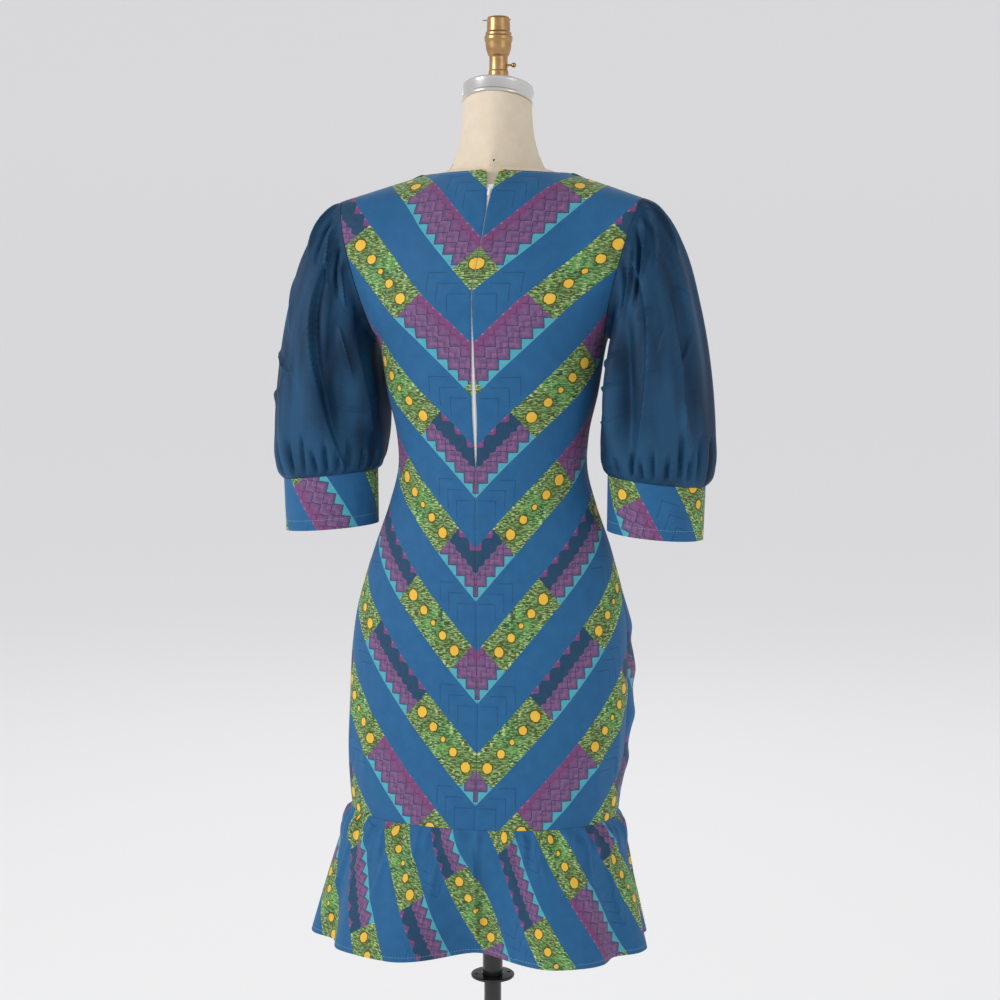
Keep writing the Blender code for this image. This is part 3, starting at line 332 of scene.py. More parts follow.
def body_grid(side, columns, rows_z, top, mirror, tucked):
    """Rows of points from the lowest ring to the neckline and the shoulder seam."""
    grid = [[lower_point(side, across, z, mirror, tucked) for across in columns] for z in rows_z]
    ends = [top(side, across, mirror) for across in columns]
    for row in range(UPPER_ROWS + 1):
        share = row / UPPER_ROWS
        grid.append([upper_point(side, across, share * end, mirror) for across, end in zip(columns, ends)])
    grid = np.array(grid)
    if mirror < 0:
        grid[:, :, 0] = mirror * grid[:, :, 0]
        shifts = [2 * body_ring(z)["shift"] for z in rows_z] + [0.0] * (UPPER_ROWS + 1)
        grid[:, :, 0] += np.array(shifts)[:, None]
    return grid


def shared_normals(grids, inside):
    """Outward normals at each grid's points, the same for points that several grids share."""
    sums = {}
    faces = []
    for grid in grids:
        corner = (grid[:-1, :-1], grid[:-1, 1:], grid[1:, 1:], grid[1:, :-1])
        normal = np.cross(corner[2] - corner[0], corner[3] - corner[1])
        middle = sum(corner) / 4
        flip = np.sign(np.sum(normal * (middle - inside(middle)), axis=-1, keepdims=True))
        flip[flip == 0] = 1
        faces.append(normal * flip)
    for grid, normal in zip(grids, faces):
        for offset in ((0, 0), (0, 1), (1, 0), (1, 1)):
            for j in range(normal.shape[0]):
                for i in range(normal.shape[1]):
                    key = tuple(np.round(grid[j + offset[0], i + offset[1]], 6))
                    sums[key] = sums.get(key, 0) + normal[j, i]
    result = []
    for grid in grids:
        flat = np.array([sums[tuple(np.round(p, 6))] for p in grid.reshape(-1, 3)]).reshape(grid.shape)
        result.append(flat / np.linalg.norm(flat, axis=-1, keepdims=True))
    return result


def body_middle(points):
    """The middle of the body beside each point, for telling its outside from its inside."""
    middle = points.copy()
    middle[..., 0] *= 0.3
    middle[..., 1] = 0.0
    middle[..., 2] = np.minimum(points[..., 2], 1.30)
    return middle


def sleeve_ring_point(turn, along):
    """A point of the +X sleeve; turn is 0 on its outer line and 90 degrees behind."""
    row = {name: smooth(SLEEVE_RINGS, "along", name, along) for name in Sleeve._fields[1:]}
    outer = np.array((row["out_x"], 0.0, row["out_z"]))
    inner = np.array((row["in_x"], 0.0, row["in_z"]))
    ripple = sum(f.share * math.cos(f.count * turn + f.turn) for f in SLEEVE_FOLDS)
    calm = 0.35 + 0.65 * (0.5 + 0.5 * math.cos(turn)) if along < 0.8 else 0.8
    grow = 1 + row["gather"] * ripple * calm / row["depth"]
    side = np.array((0.0, row["depth"], 0.0)) * math.sin(turn)
    centre = (outer + inner) / 2 + np.array((0.0, row["mid_y"] * ease(along * 3), 0.0))
    shift = np.array((0.0, 0.005 * (1 + math.cos(turn)) / 2, 0.0)) if along == 0 else 0.0
    return centre + grow * ((outer - inner) / 2 * math.cos(turn) + side) + shift


def hem_fold(angle):
    """How far the ruffle's hem stands out from its ring."""
    total = 0.0
    for fold in RUFFLE_FOLDS:
        away = (math.degrees(angle) - fold.angle + 180) % 360 - 180
        reach = FOLD_REACH * fold.spread
        if abs(away) < reach:
            total += fold.depth * (0.5 + 0.5 * math.cos(math.pi * away / reach))
    return total


def refine(grid, axis, places, closed=False):
    """New rows or columns at places from 0 to 1 along an axis, on a smooth curve through the given ones."""
    points = np.moveaxis(grid, axis, 0)
    if closed:
        points = np.concatenate([points, points[:1]])
    steps = np.linalg.norm(np.diff(points, axis=0), axis=-1)
    steps = steps.reshape(len(steps), -1).mean(axis=1)
    at = np.concatenate([[0.0], np.cumsum(steps)])
    chords = np.diff(points, axis=0) / steps[:, None, None]
    before, after = chords[:-1], chords[1:]
    short, long = steps[:-1, None, None], steps[1:, None, None]
    inner = (before * long + after * short) / (short + long)
    if closed:
        ends = (chords[-1:] * steps[0] + chords[:1] * steps[-1]) / (steps[0] + steps[-1])
        slopes = np.concatenate([ends, inner, ends])
    else:
        slopes = np.concatenate([2 * chords[:1] - inner[:1], inner, 2 * chords[-1:] - inner[-1:]])
    wanted = np.asarray(places) * at[-1]
    low = np.clip(np.searchsorted(at, wanted, side="right") - 1, 0, len(steps) - 1)
    width = steps[low][:, None, None]
    t = ((wanted - at[low]) / steps[low])[:, None, None]
    found = cubic(t, width, points[low], points[low + 1], slopes[low], slopes[low + 1])
    return np.moveaxis(found, 0, axis)


def lengths_along(line):
    """How far along a line of points each point lies."""
    return np.concatenate([[0.0], np.cumsum(np.linalg.norm(np.diff(line, axis=0), axis=1))])


def at_place(place, along, values):
    """The row of an array of points that belongs to a place along its line."""
    return np.array([np.interp(place, along, values[:, k]) for k in range(3)])


def spaced(count, close_start=(), close_end=()):
    """Even places from 0 to 1, with some more close to the ends."""
    return np.unique(np.round(np.concatenate([np.linspace(0, 1, count), close_start,
                                              1 - np.array(close_end)]), 5))


def tube_normals(grid):
    """Outward normals of a closed tube of rings."""
    along = np.gradient(grid, axis=0)
    around = np.roll(grid, -1, axis=1) - np.roll(grid, 1, axis=1)
    normal = np.cross(around, along)
    normal /= np.linalg.norm(normal, axis=-1, keepdims=True)
    outward = np.sum(normal * (grid - grid.mean(axis=1, keepdims=True)))
    return normal if outward > 0 else -normal


def sheet_normals(grid):
    """Outward normals of an open piece of the body."""
    normal = np.cross(np.gradient(grid, axis=1), np.gradient(grid, axis=0))
    normal /= np.maximum(np.linalg.norm(normal, axis=-1, keepdims=True), 1e-12)
    outward = grid - np.array((0.0, 0.0, 1.0)) * grid[..., 2:]
    return normal * np.sign(np.sum(normal * outward))


def bell(value):
    return np.exp(-value ** 2)


def crease_height(around, up, creases, whole_round=None):
    """How far creases lift the cloth at places round it and up it, all in metres."""
    total = np.zeros_like(up)
    for c in creases:
        x = around - c.around
        if whole_round:
            x = (x + whole_round / 2) % whole_round - whole_round / 2
        y = up - c.up
        reach = math.hypot(c.to_around - c.around, c.to_up - c.up)
        way = np.array((c.to_around - c.around, c.to_up - c.up)) / reach
        along = (x * way[0] + y * way[1]) / reach
        across = x * way[1] - y * way[0] - c.bow * (1 - (2 * along - 1) ** 2)
        inside = (along > 0) & (along < 1)
        taper = np.where(inside, np.sin(math.pi * np.clip(along, 0, 1)) ** 0.8, 0.0)
        side = np.where(across > 0, c.width * c.steep, c.width)
        total += c.height * taper * bell(across / side)
    return total


def linked_object(name, mesh):
    made = bpy.data.objects.new(name, mesh)
    bpy.context.scene.collection.objects.link(made)
    return made


def mesh_object(name, points, faces, places, material, body, smooth_angle=50):
    """A mesh object with the map "cloth", and the body that it moves with."""
    mesh = bpy.data.meshes.new(name)
    mesh.from_pydata(points, [], faces)
    if places is not None:
        layer = mesh.uv_layers.new(name="cloth")
        layer.data.foreach_set("uv", np.asarray(places, dtype=float).ravel())
    mesh.shade_smooth()
    mesh.set_sharp_from_angle(angle=math.radians(smooth_angle))
    mesh.materials.append(material)
    made = linked_object(name, mesh)
    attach(made, body)
    return made


def packed_copy(node, name, material, body):
    """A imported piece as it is, with its look."""
    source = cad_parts[node]
    made = linked_object(name, source.data.copy())
    made.matrix_world = source.matrix_world.copy()
    made.data.materials.clear()
    made.data.materials.append(material)
    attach(made, body)
    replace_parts(made, node)


def shell(name, outer, inner, cloth, material, slot, closed=False):
    """A cloth wall between two grids of points. cloth holds the place of each point on the cut cloth, with
    one column more than the points where the piece runs all round."""
    rows, columns = outer.shape[:2]
    under = rows * columns
    numbers = np.arange(under).reshape(rows, columns)
    if closed:
        numbers = np.concatenate([numbers, numbers[:, :1]], axis=1)

    def corners(grid):
        return np.stack([grid[:-1, :-1], grid[:-1, 1:], grid[1:, 1:], grid[1:, :-1]], axis=2)

    points = np.concatenate([outer.reshape(-1, 3), inner.reshape(-1, 3)])
    quads, places = corners(numbers).reshape(-1, 4), corners(cloth).reshape(-1, 4, 2)
    faces, maps = [quads, under + quads[:, ::-1]], [places, places[:, ::-1]]
    edges = [(np.s_[0], 1), (np.s_[-1], -1)] + ([] if closed else [(np.s_[:, 0], -1), (np.s_[:, -1], 1)])
    for edge, way in edges:
        line, on_cloth = numbers[edge], cloth[edge]
        rim = np.stack([line[1:], line[:-1], under + line[:-1], under + line[1:]], axis=1)
        rim_map = np.stack([on_cloth[1:], on_cloth[:-1], on_cloth[:-1], on_cloth[1:]], axis=1)
        faces.append(rim[:, ::way])
        maps.append(rim_map[:, ::way])
    faces, maps = np.concatenate(faces), np.concatenate(maps)
    if np.dot(np.cross(outer[0, 1] - outer[0, 0], outer[1, 1] - outer[0, 1]), outer[1, 1] - inner[1, 1]) < 0:
        faces, maps = faces[:, ::-1], maps[:, ::-1]
    return mesh_object(name, points.tolist(), faces.tolist(), maps, material, "form")


def draw_back(points, edge, gap=SEAM_GAP):
    """Draw an edge of a grid back from its seam line."""
    here, beside = {"first_column": (np.s_[:, 0], np.s_[:, 1]), "last_column": (np.s_[:, -1], np.s_[:, -2]),
                    "first_row": (np.s_[0], np.s_[1]), "last_row": (np.s_[-1], np.s_[-2])}[edge]
    step = points[beside] - points[here]
    points[here] += gap * step / np.maximum(np.linalg.norm(step, axis=-1, keepdims=True), 1e-9)


def stitches(name, line, outward, material, length=0.0030, gap=0.0011, radius=0.00022):
    """A row of small thread stitches that lie on a line of points."""
    at = lengths_along(line)
    points, faces = [], []
    for start in np.arange(0.001, at[-1] - length, length + gap):
        rings = []
        for share, lift, size in ((0.0, -0.4, 0.5), (0.25, 0.5, 1.0), (0.75, 0.5, 1.0), (1.0, -0.4, 0.5)):
            place = start + share * length
            here, out = at_place(place, at, line), at_place(place, at, outward)
            ahead = at_place(place + 0.001, at, line) - here
            side = np.cross(out, ahead)
            side /= max(np.linalg.norm(side), 1e-9)
            middle = here + out * radius * lift
            for angle in ((2 * k + 1) * math.pi / 4 for k in range(4)):
                rings.append(tuple(middle + radius * size * (side * math.cos(angle) + out * math.sin(angle))))
        base = len(points)
        points += rings
        for k in range(3):
            faces += [[base + 4 * k + i, base + 4 * k + (i + 1) % 4, base + 4 * k + 4 + (i + 1) % 4,
                       base + 4 * k + 4 + i] for i in range(4)]
        faces += [[base + 3, base + 2, base + 1, base], [base + 12, base + 13, base + 14, base + 15]]
    mesh_object(name, points, faces, None, material, "form")


def turned_mesh(profile, steps):
    """Points and faces of a profile of (radius, height) points that is turned round the axis."""
    points, faces, rings = [], [], []
    angles = [math.tau * i / steps for i in range(steps)]
    for radius, height in profile:
        if radius < 1e-6:
            rings.append([len(points)] * steps)
            points.append((0.0, 0.0, height))
        else:
            rings.append(list(range(len(points), len(points) + steps)))
            points += [(radius * math.cos(a), radius * math.sin(a), height) for a in angles]
    for upper, lower in zip(rings, rings[1:]):
        for i in range(steps):
            corners = [upper[i], lower[i], lower[(i + 1) % steps], upper[(i + 1) % steps]]
            face = list(dict.fromkeys(corners))
            if len(face) > 2:
                faces.append(face)
    return points, faces


def revolve(node, name, profile, steps, material, body, place=None):
    """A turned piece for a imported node, from a profile that starts and ends on its axis."""
    points, faces = turned_mesh(profile, steps)
    if place is not None:
        points = [tuple(place @ Vector(p)) for p in points]
    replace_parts(mesh_object(name, points, faces, None, material, body, TURNED_SHARP), node)


class Shade:
    """A value in a node tree. Arithmetic on it adds math nodes."""

    def __init__(self, tree, socket):
        self.tree, self.socket = tree, socket

    def math(self, operation, *others, clamp=False):
        node = self.tree.nodes.new("ShaderNodeMath")
        node.operation = operation
        node.use_clamp = clamp
        for slot, value in zip(node.inputs, (self, *others)):
            if isinstance(value, Shade):
                self.tree.links.new(value.socket, slot)
            else:
                slot.default_value = value
        return Shade(self.tree, node.outputs[0])

    def __add__(self, other):
        return self.math("ADD", other)

    def __sub__(self, other):
        return self.math("SUBTRACT", other)

    def __mul__(self, other):
        return self.math("MULTIPLY", other)

    def floor(self):
        return self.math("FLOOR")

    def size(self):
        return self.math("ABSOLUTE")

    def least(self, other):
        return self.math("MINIMUM", other)

    def most(self, other):
        return self.math("MAXIMUM", other)

    def above(self, limit, soft=0.0003):
        """1 where the value is over a limit, with a soft step."""
        return (self - limit).math("MULTIPLY_ADD", 1 / soft, 0.5, clamp=True)

    def below(self, limit, soft=0.0003):
        return (self - limit).math("MULTIPLY_ADD", -1 / soft, 0.5, clamp=True)

    def from_nearest(self, spacing):
        """Distance along a line from the nearest of evenly spaced marks, with its sign."""
        return self - (self * (1 / spacing) + 0.5).floor() * spacing


def seen(red, green, blue):
    """A colour from its usual 0 to 255 values."""
    shares = (value / 255 for value in (red, green, blue))
    return tuple(c / 12.92 if c <= 0.04 else ((c + 0.055) / 1.055) ** 2.4 for c in shares) + (1.0,)


def mixed(tree, share, first, second):
    """first where share is 0 and second where it is 1."""
    node = tree.nodes.new("ShaderNodeMix")
    node.data_type = "RGBA"
    for number, value in ((0, share), (6, first), (7, second)):
        if isinstance(value, Shade):
            tree.links.new(value.socket, node.inputs[number])
        elif hasattr(value, "links"):
            tree.links.new(value, node.inputs[number])
        else:
            node.inputs[number].default_value = value
    return node.outputs[2]


def noise_at(tree, vector, scale, detail=2.0, rough=0.5, dimensions="2D"):
    node = tree.nodes.new("ShaderNodeTexNoise")
    node.noise_dimensions = dimensions
    node.inputs["Scale"].default_value = scale
    node.inputs["Detail"].default_value = detail
    node.inputs["Roughness"].default_value = rough
    tree.links.new(vector, node.inputs["Vector"])
    return Shade(tree, node.outputs[0])


def combined(tree, x, y):
    node = tree.nodes.new("ShaderNodeCombineXYZ")
    tree.links.new(x.socket, node.inputs[0])
    tree.links.new(y.socket, node.inputs[1])
    return node.outputs[0]


def cloth_places(tree):
    """The place on the cut cloth, whole and as its two shares."""
    source = tree.nodes.new("ShaderNodeUVMap")
    source.uv_map = "cloth"
    parts = tree.nodes.new("ShaderNodeSeparateXYZ")
    tree.links.new(source.outputs[0], parts.inputs[0])
    return source.outputs[0], Shade(tree, parts.outputs[0]), Shade(tree, parts.outputs[1])


def zigzag(s, period, height):
    """A triangle wave from 0 to height."""
    return s.from_nearest(period).size() * (2 * height / period)


def blue_ground(tree, s, depth, band, around):
    """The plain ground with sets of three nested corners drawn in thin lines."""
    across = (depth - (BAND + (REPEAT - BAND) / 2)).size()
    ahead = (s - band * REPEAT - CORNER_START).from_nearest(RUN) + across
    nearest = ((ahead * (1 / CORNER_SPACING)) + 0.5).floor().most(-1.0).least(1.0)
    line = (ahead - nearest * CORNER_SPACING).size().below(0.0007, 0.0005) * across.below(CORNER_LEG)
    grain = noise_at(tree, around, 55.0, 3.0)
    ground = mixed(tree, grain, seen(26, 88, 136), seen(36, 102, 150))
    return mixed(tree, line * 0.85, ground, seen(24, 66, 108))


def purple_band(tree, s, depth, navy, around):
    """The purple scales with their stepped lower edge, and the variant with a dark upper half."""
    steps = zigzag(s, STEP_PERIOD, STEP_HEIGHT) + STEP_FOOT
    over = depth - steps
    grain = noise_at(tree, around, 160.0, 4.0, 0.6)
    scale_shade = (over * (1 / SCALE_ROW)).math("FRACT")
    shade = (grain + scale_shade * 0.5 - 0.35).math("MULTIPLY", 1.3, clamp=True)
    purple = mixed(tree, shade, seen(84, 66, 104), seen(138, 96, 140))
    upper = (depth + grain * 0.016 - (BAND - 0.004)).above(0.0, 0.006)
    purple = mixed(tree, upper * 0.7, purple, seen(122, 62, 112))
    other_steps = zigzag(s + STEP_PERIOD / 2, STEP_PERIOD, STEP_HEIGHT) + STEP_FOOT + SCALE_ROW
    other_over = depth - other_steps
    rows = over.from_nearest(2 * SCALE_ROW).size().least(other_over.from_nearest(2 * SCALE_ROW).size())
    outline = rows.below(0.00075, 0.0005) * depth.below(BAND - 0.006, 0.001)
    purple = mixed(tree, outline * 0.8, purple, seen(54, 46, 84))
    points = zigzag(s, *PINK_POINTS)
    pink = (depth + points).above(BAND + 0.0035) * grain.above(0.47, 0.08)
    purple = mixed(tree, pink * 0.8, purple, seen(178, 110, 150))
    dark_from = zigzag(s + 0.004, *NAVY_FOOT) + BAND * 0.5
    tips = zigzag(s, *NAVY_TIPS) + (BAND - 0.0075)
    dark = (depth - dark_from).above(0.0) * (depth - tips).below(0.0) * navy
    purple = mixed(tree, dark, purple, mixed(tree, grain, seen(22, 58, 88), seen(34, 76, 108)))
    edge_line = over.size().below(0.0009, 0.0005)
    result = mixed(tree, over.below(0.0), purple, mixed(tree, grain, seen(62, 150, 170), seen(92, 180, 192)))
    return mixed(tree, edge_line * 0.85, result, seen(34, 70, 110))


def green_patch(tree, s, t, depth, along):
    """Green in short level dashes, dark to pale, browner at both ends, with a row of golden dots."""
    level, rise = s - t, s + t
    wide = noise_at(tree, combined(tree, level * 30.0, rise * 44.0), 1.0, 2.0, 0.6)
    dash = noise_at(tree, combined(tree, level * 70.0, rise * 270.0), 1.0, 2.0, 0.75)
    fleck = noise_at(tree, combined(tree, level * 120.0, rise * 520.0), 1.0, 1.0, 0.5)
    green = mixed(tree, wide.math("MULTIPLY_ADD", 3.4, -1.2, clamp=True), seen(36, 88, 50), seen(96, 158, 76))
    green = mixed(tree, dash.below(0.44, 0.07) * 0.65, green, seen(30, 66, 42))
    ends = (along.size() - 0.032 + wide * 0.030).above(0.0, 0.016)
    green = mixed(tree, ends * 0.72, green, seen(74, 82, 36))
    green = mixed(tree, dash.above(0.56, 0.08) * 0.7, green, seen(120, 170, 92))
    edges = (depth - BAND / 2).size().above(BAND * 0.22, 0.016)
    green = mixed(tree, fleck.above(0.60, 0.05) * (edges * 0.7 + 0.25), green, seen(190, 210, 150))
    nearest, aside = None, depth - BAND / 2
    for place, radius in GOLD_DOTS:
        ahead = along - place
        away = (ahead * ahead + aside * aside).math("SQRT") - radius
        nearest = away if nearest is None else nearest.least(away)
    green = mixed(tree, nearest.below(0.0014, 0.0005), green, seen(84, 60, 26))
    gold = mixed(tree, wide, seen(224, 174, 48), seen(240, 200, 80))
    return mixed(tree, nearest.below(0.0, 0.0004), green, gold)


def print_material():
    """The printed cotton: bands at an even repeat, patches of green and purple along them."""
    material = plain_material("print_cloth_look", seen(26, 88, 136), 0.72, Specular_IOR_Level=0.3,
                              Sheen_Weight=0.08)
    tree = material.node_tree
    shader = tree.nodes["Principled BSDF"]
    around, s, t = cloth_places(tree)
    wander = (noise_at(tree, around, 300.0, 1.0) - 0.5) * PRINT_WANDER
    places = (t - PRINT_START) * (1 / REPEAT)
    band = places.floor()
    depth = (places - band) * REPEAT + wander
    from_green = s - GREEN_START - band * GREEN_STEP
    along = from_green.from_nearest(RUN) + wander * 2.0
    segment = (from_green * (1 / RUN)).floor()
    order = (band * -0.5 + 1.0).floor() + segment
    navy = (order * 0.5).math("FRACT").above(0.25)
    ground = blue_ground(tree, s, depth, band, around)
    purple = purple_band(tree, s, depth, navy, around)
    green = green_patch(tree, s, t, depth, along)
    is_green = along.size().below(GREEN_HALF)
    colour = mixed(tree, is_green, purple, green)
    colour = mixed(tree, depth.below(BAND), ground, colour)
    tree.links.new(colour, shader.inputs["Base Color"])
    add_weave(tree, shader, around, 1400.0, 0.25, 0.0002)
    return material


def add_weave(tree, shader, around, scale, strength, distance):
    """A fine uneven surface as woven cloth has."""
    bump = tree.nodes.new("ShaderNodeBump")
    bump.inputs["Strength"].default_value = strength
    bump.inputs["Distance"].default_value = distance
    tree.links.new(noise_at(tree, around, scale, 2.0).socket, bump.inputs["Height"])
    tree.links.new(bump.outputs[0], shader.inputs["Normal"])


def satin_material():
    """Dark satin whose painted sheen lies in long light and dark streaks down the sleeve, with fine level
    slubs.
    """
    material = plain_material("satin_look", seen(18, 60, 98), 0.60, Specular_IOR_Level=0.22)
    tree = material.node_tree
    shader = tree.nodes["Principled BSDF"]
    places, around, down = cloth_places(tree)
    # painted sheen: long streaks lighten and darken the satin's colour where its lustre would catch the light
    sheen_streak = noise_at(tree, combined(tree, around * 26.0, down * 4.5), 1.0, 2.0, 0.55)
    slub = noise_at(tree, combined(tree, around * 30.0, down * 420.0), 1.0, 1.0)
    share = (sheen_streak + slub * 0.10 - 0.05).math("MULTIPLY_ADD", 2.6, -0.8, clamp=True)
    # the paler colour is painted sheen; the slubs mixed in are the cloth's own
    tree.links.new(mixed(tree, share, seen(9, 43, 70), seen(29, 75, 110)), shader.inputs["Base Color"])
    add_weave(tree, shader, places, 900.0, 0.30, 0.0001)
    return material


def plain_material(name, colour, roughness, metallic=0.0, **others):
    material = bpy.data.materials.new(name)
    material.use_nodes = True
    shader = material.node_tree.nodes["Principled BSDF"]
    shader.inputs["Base Color"].default_value = colour
    shader.inputs["Roughness"].default_value = roughness
    shader.inputs["Metallic"].default_value = metallic
    for slot, value in others.items():
        shader.inputs[slot.replace("_", " ")].default_value = value
    return material


def mottled_material(name, low, high, scale, roughness, metallic=0.0, bump=(0.0, 0.0), **others):
    """A material whose colour drifts between two values over the piece."""
    material = plain_material(name, low, roughness, metallic, **others)
    tree = material.node_tree
    shader = tree.nodes["Principled BSDF"]
    where = tree.nodes.new("ShaderNodeTexCoord").outputs["Object"]
    share = noise_at(tree, where, scale, 3.0, 0.6, "3D").math("MULTIPLY_ADD", 2.0, -0.5, clamp=True)
    tree.links.new(mixed(tree, share, low, high), shader.inputs["Base Color"])
    if bump[0]:
        add_weave(tree, shader, where, bump[0], 0.35, bump[1])
    return material


def make_panels(cloth):
    """The four printed body panels; the outer grid of points and the normals of each are returned."""
    columns = [i / QUARTER for i in range(QUARTER + 1)]
    plans = [("back_left", "back", 1, BACK_ROWS_Z), ("back_right", "back", -1, BACK_ROWS_Z),
             ("front_left", "front", 1, FRONT_ROWS_Z), ("front_right", "front", -1, FRONT_ROWS_Z)]
    made = {}
    half_shoulder = np.searchsorted(PANEL_COLUMNS, NECK_SIDE)
    for name, side, mirror, rows_z in plans:
        coarse = body_grid(side, columns, rows_z, neckline_top, mirror, True)
        grid = refine(coarse, 1, PANEL_COLUMNS)
        grid = refine(grid, 0, PANEL_ROWS)
        normal = sheet_normals(grid)
        steps = np.linalg.norm(np.diff(grid, axis=1), axis=-1)
        around = np.concatenate([np.zeros((len(grid), 1)), np.cumsum(steps, axis=1)], axis=1)
        height = grid[..., 2]
        lift = crease_height(mirror * around, height, CREASES[side])
        lift = lift - MIDDLE_DENT * bell(around / MIDDLE_DENT_WIDE)
        lift = lift - SIDE_DENT * bell((around[:, -1:] - around) / SIDE_DENT_WIDE)
        lift = np.clip(lift, -DEEPEST, 0.02)
        outer = grid + lift[..., None] * normal
        inner = grid + (lift - CLOTH)[..., None] * normal
        if side == "back":
            above_zip = np.clip((height[:, :1] - ZIP_BOTTOM_Z + 0.02) / 0.04, 0, 1)
            rise = ZIP_LIFT * above_zip * bell(around / 0.010)
            half = np.array([smooth(ZIP_GAPS, "z", "half", z) for z in height[:, 0]])[:, None]
            for points in (outer, inner):
                points += rise[..., None] * normal
                points[..., 0] += mirror * half * bell(around / 0.020)
        for points in (outer, inner):
            for edge in ("first_column", "last_column", "first_row"):
                draw_back(points, edge)
            draw_back(points[:, half_shoulder:], "last_row")
        run = np.linalg.norm(np.diff(grid[..., 1:], axis=0), axis=-1)
        over = np.clip((height[1:] - 1.40) / 0.03, 0, 1)
        steps = np.diff(height, axis=0) * (1 - over) + run * over
        rising = np.concatenate([height[:1], height[:1] + np.cumsum(steps, axis=0)])
        lean = np.interp(height, *zip(*STRIPE_LEAN))
        places = np.stack([rising + lean * around, rising - lean * around], axis=-1) / math.sqrt(2)
        piece = shell(f"cloth_{name}", outer, inner, places, cloth, "print_cloth")
        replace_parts(piece, name)
        made[name] = (outer, normal)
    return made


def turned(right, up, place):
    """Places in the print for cloth that is cut at an angle: along the stripes, and across them."""
    turn = math.radians(place.turn)
    along = right * math.cos(turn) + up * math.sin(turn)
    across = right * math.sin(turn) - up * math.cos(turn)
    return np.stack([place.s + along, place.t + across], axis=-1)


def round_piece(turns, length):
    """Lengths round a piece of cloth, with its end again beside its start."""
    return np.concatenate([turns, [math.tau]]) / math.tau * length


def make_sleeve(side, mirror, turns, satin):
    """A puffed satin sleeve with its folds."""
    coarse = np.array([[sleeve_ring_point(turn, along) for turn in turns] for along in SLEEVE_ROWS])
    grid = refine(coarse, 0, SLEEVE_PLACES) * np.array((mirror, 1, 1))
    normal = tube_normals(grid)
    along = np.broadcast_to(SLEEVE_PLACES[:, None], grid.shape[:2])
    around = round_piece(turns, SLEEVE_ROUND) + 0 * SLEEVE_PLACES[:, None]
    lift = crease_height(around[:, :-1], along * SLEEVE_LONG, SLEEVE_CREASES[side], SLEEVE_ROUND)
    lift = lift * np.clip(np.minimum(along, 1 - along) / SLEEVE_CALM, 0, 1)
    outer = grid + lift[..., None] * normal
    inner = outer - SATIN * normal
    for points in (outer, inner):
        for edge in ("first_row", "last_row"):
            draw_back(points, edge)
    flat = np.stack([around, SLEEVE_PLACES[:, None] * SLEEVE_LONG + 0 * around], axis=-1)
    sleeve = shell(f"satin_sleeve_{side}", outer, inner, flat, satin, "sleeve_cloth", closed=True)
    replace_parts(sleeve, f"sleeve_{side}")


def make_cuff(side, mirror, turns, cloth):
    """A printed cuff; its outer points and their normals are returned."""
    close = (0.004, 0.012, 0.03)
    grid = cuff_grid(spaced(22, close, close), turns) * np.array((mirror, 1, 1))
    normal = tube_normals(grid)
    down = np.linalg.norm(grid - grid[:1], axis=-1)
    down = np.concatenate([down, down[:, :1]], axis=1)
    around = round_piece(turns, CUFF_ROUND) + 0 * down
    lift = crease_height(around[:, :-1], down[:, :-1], CUFF_CREASES[side], CUFF_ROUND)
    outer = grid + lift[..., None] * normal
    inner = outer - CLOTH * normal
    for points in (outer, inner):
        draw_back(points, "first_row")
    places = turned(mirror * around, -down, CUFF_PLACE[side])
    cuff = shell(f"cloth_cuff_{side}", outer, inner, places, cloth, "print_cloth", closed=True)
    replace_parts(cuff, f"cuff_{side}")
    return outer, normal


def make_sleeves(cloth, satin):
    """A sleeve and its cuff at each armhole; the cuffs' points and normals are returned."""
    turns = np.arange(SLEEVE_TURNS) * math.tau / SLEEVE_TURNS
    cuffs = {}
    for side, mirror in (("left", 1), ("right", -1)):
        make_sleeve(side, mirror, turns, satin)
        cuffs[side] = make_cuff(side, mirror, turns, cloth)
    return cuffs


def cuff_grid(places, turns):
    """Cuff rings from the sleeve seam to the lower edge."""
    top, rows = SLEEVE_RINGS[-1], []
    high = np.array((top.out_x, top.out_z, top.in_x, top.in_z, top.depth))
    low = np.array(CUFF_OUT + CUFF_IN + (CUFF_DEPTH,))
    for share in places:
        out_x, out_z, in_x, in_z, depth = (1 - share) * high + share * low
        outer, inner = np.array((out_x, 0, out_z)), np.array((in_x, 0, in_z))
        rows.append([(outer + inner) / 2 + (outer - inner) / 2 * math.cos(turn)
                     + np.array((0, top.mid_y + depth * math.sin(turn), 0)) for turn in turns])
    return np.array(rows)


def ruffle_gathers(angle):
    """Uneven gathers under the ruffle's seam: their height, and how far down each one runs."""
    rng = np.random.default_rng(7)
    total, reach = np.zeros_like(angle), np.zeros_like(angle)
    for k in range(RUFFLE_GATHERS * 2):
        centre = (k + rng.uniform(-0.35, 0.35)) * math.pi / RUFFLE_GATHERS
        half = math.radians(rng.uniform(1.3, 2.6))
        away = (angle - centre + math.pi) % math.tau - math.pi
        height, long = rng.uniform(0.45, 1.25), rng.uniform(0.18, 0.6)
        total += height * bell(away / half)
        reach += height * long * bell(away / half)
    return total, reach / np.maximum(total, 1e-6)


def ruffle_point(angle, down):
    """A point of the ruffle without its gathers; down is 0 at its seam and 1 at its hem."""
    top = ring_point(angle, body_ring(SEAM_Z), SEAM_Z)
    hem = ring_point(angle, HEM_RING._asdict(), HEM_Z)
    flare = down ** 0.8
    point = (1 - flare) * top + flare * hem
    point[2] = SEAM_Z + down * (HEM_Z - SEAM_Z)
    outward = np.array((hem[0] - HEM_RING.shift, hem[1] * 1.3, 0.0))
    outward /= np.linalg.norm(outward)
    swell = 0.004 * math.sin(math.pi * min(down / 0.25, 1.0))
    return point + outward * (swell + hem_fold(angle) * down ** 1.25)


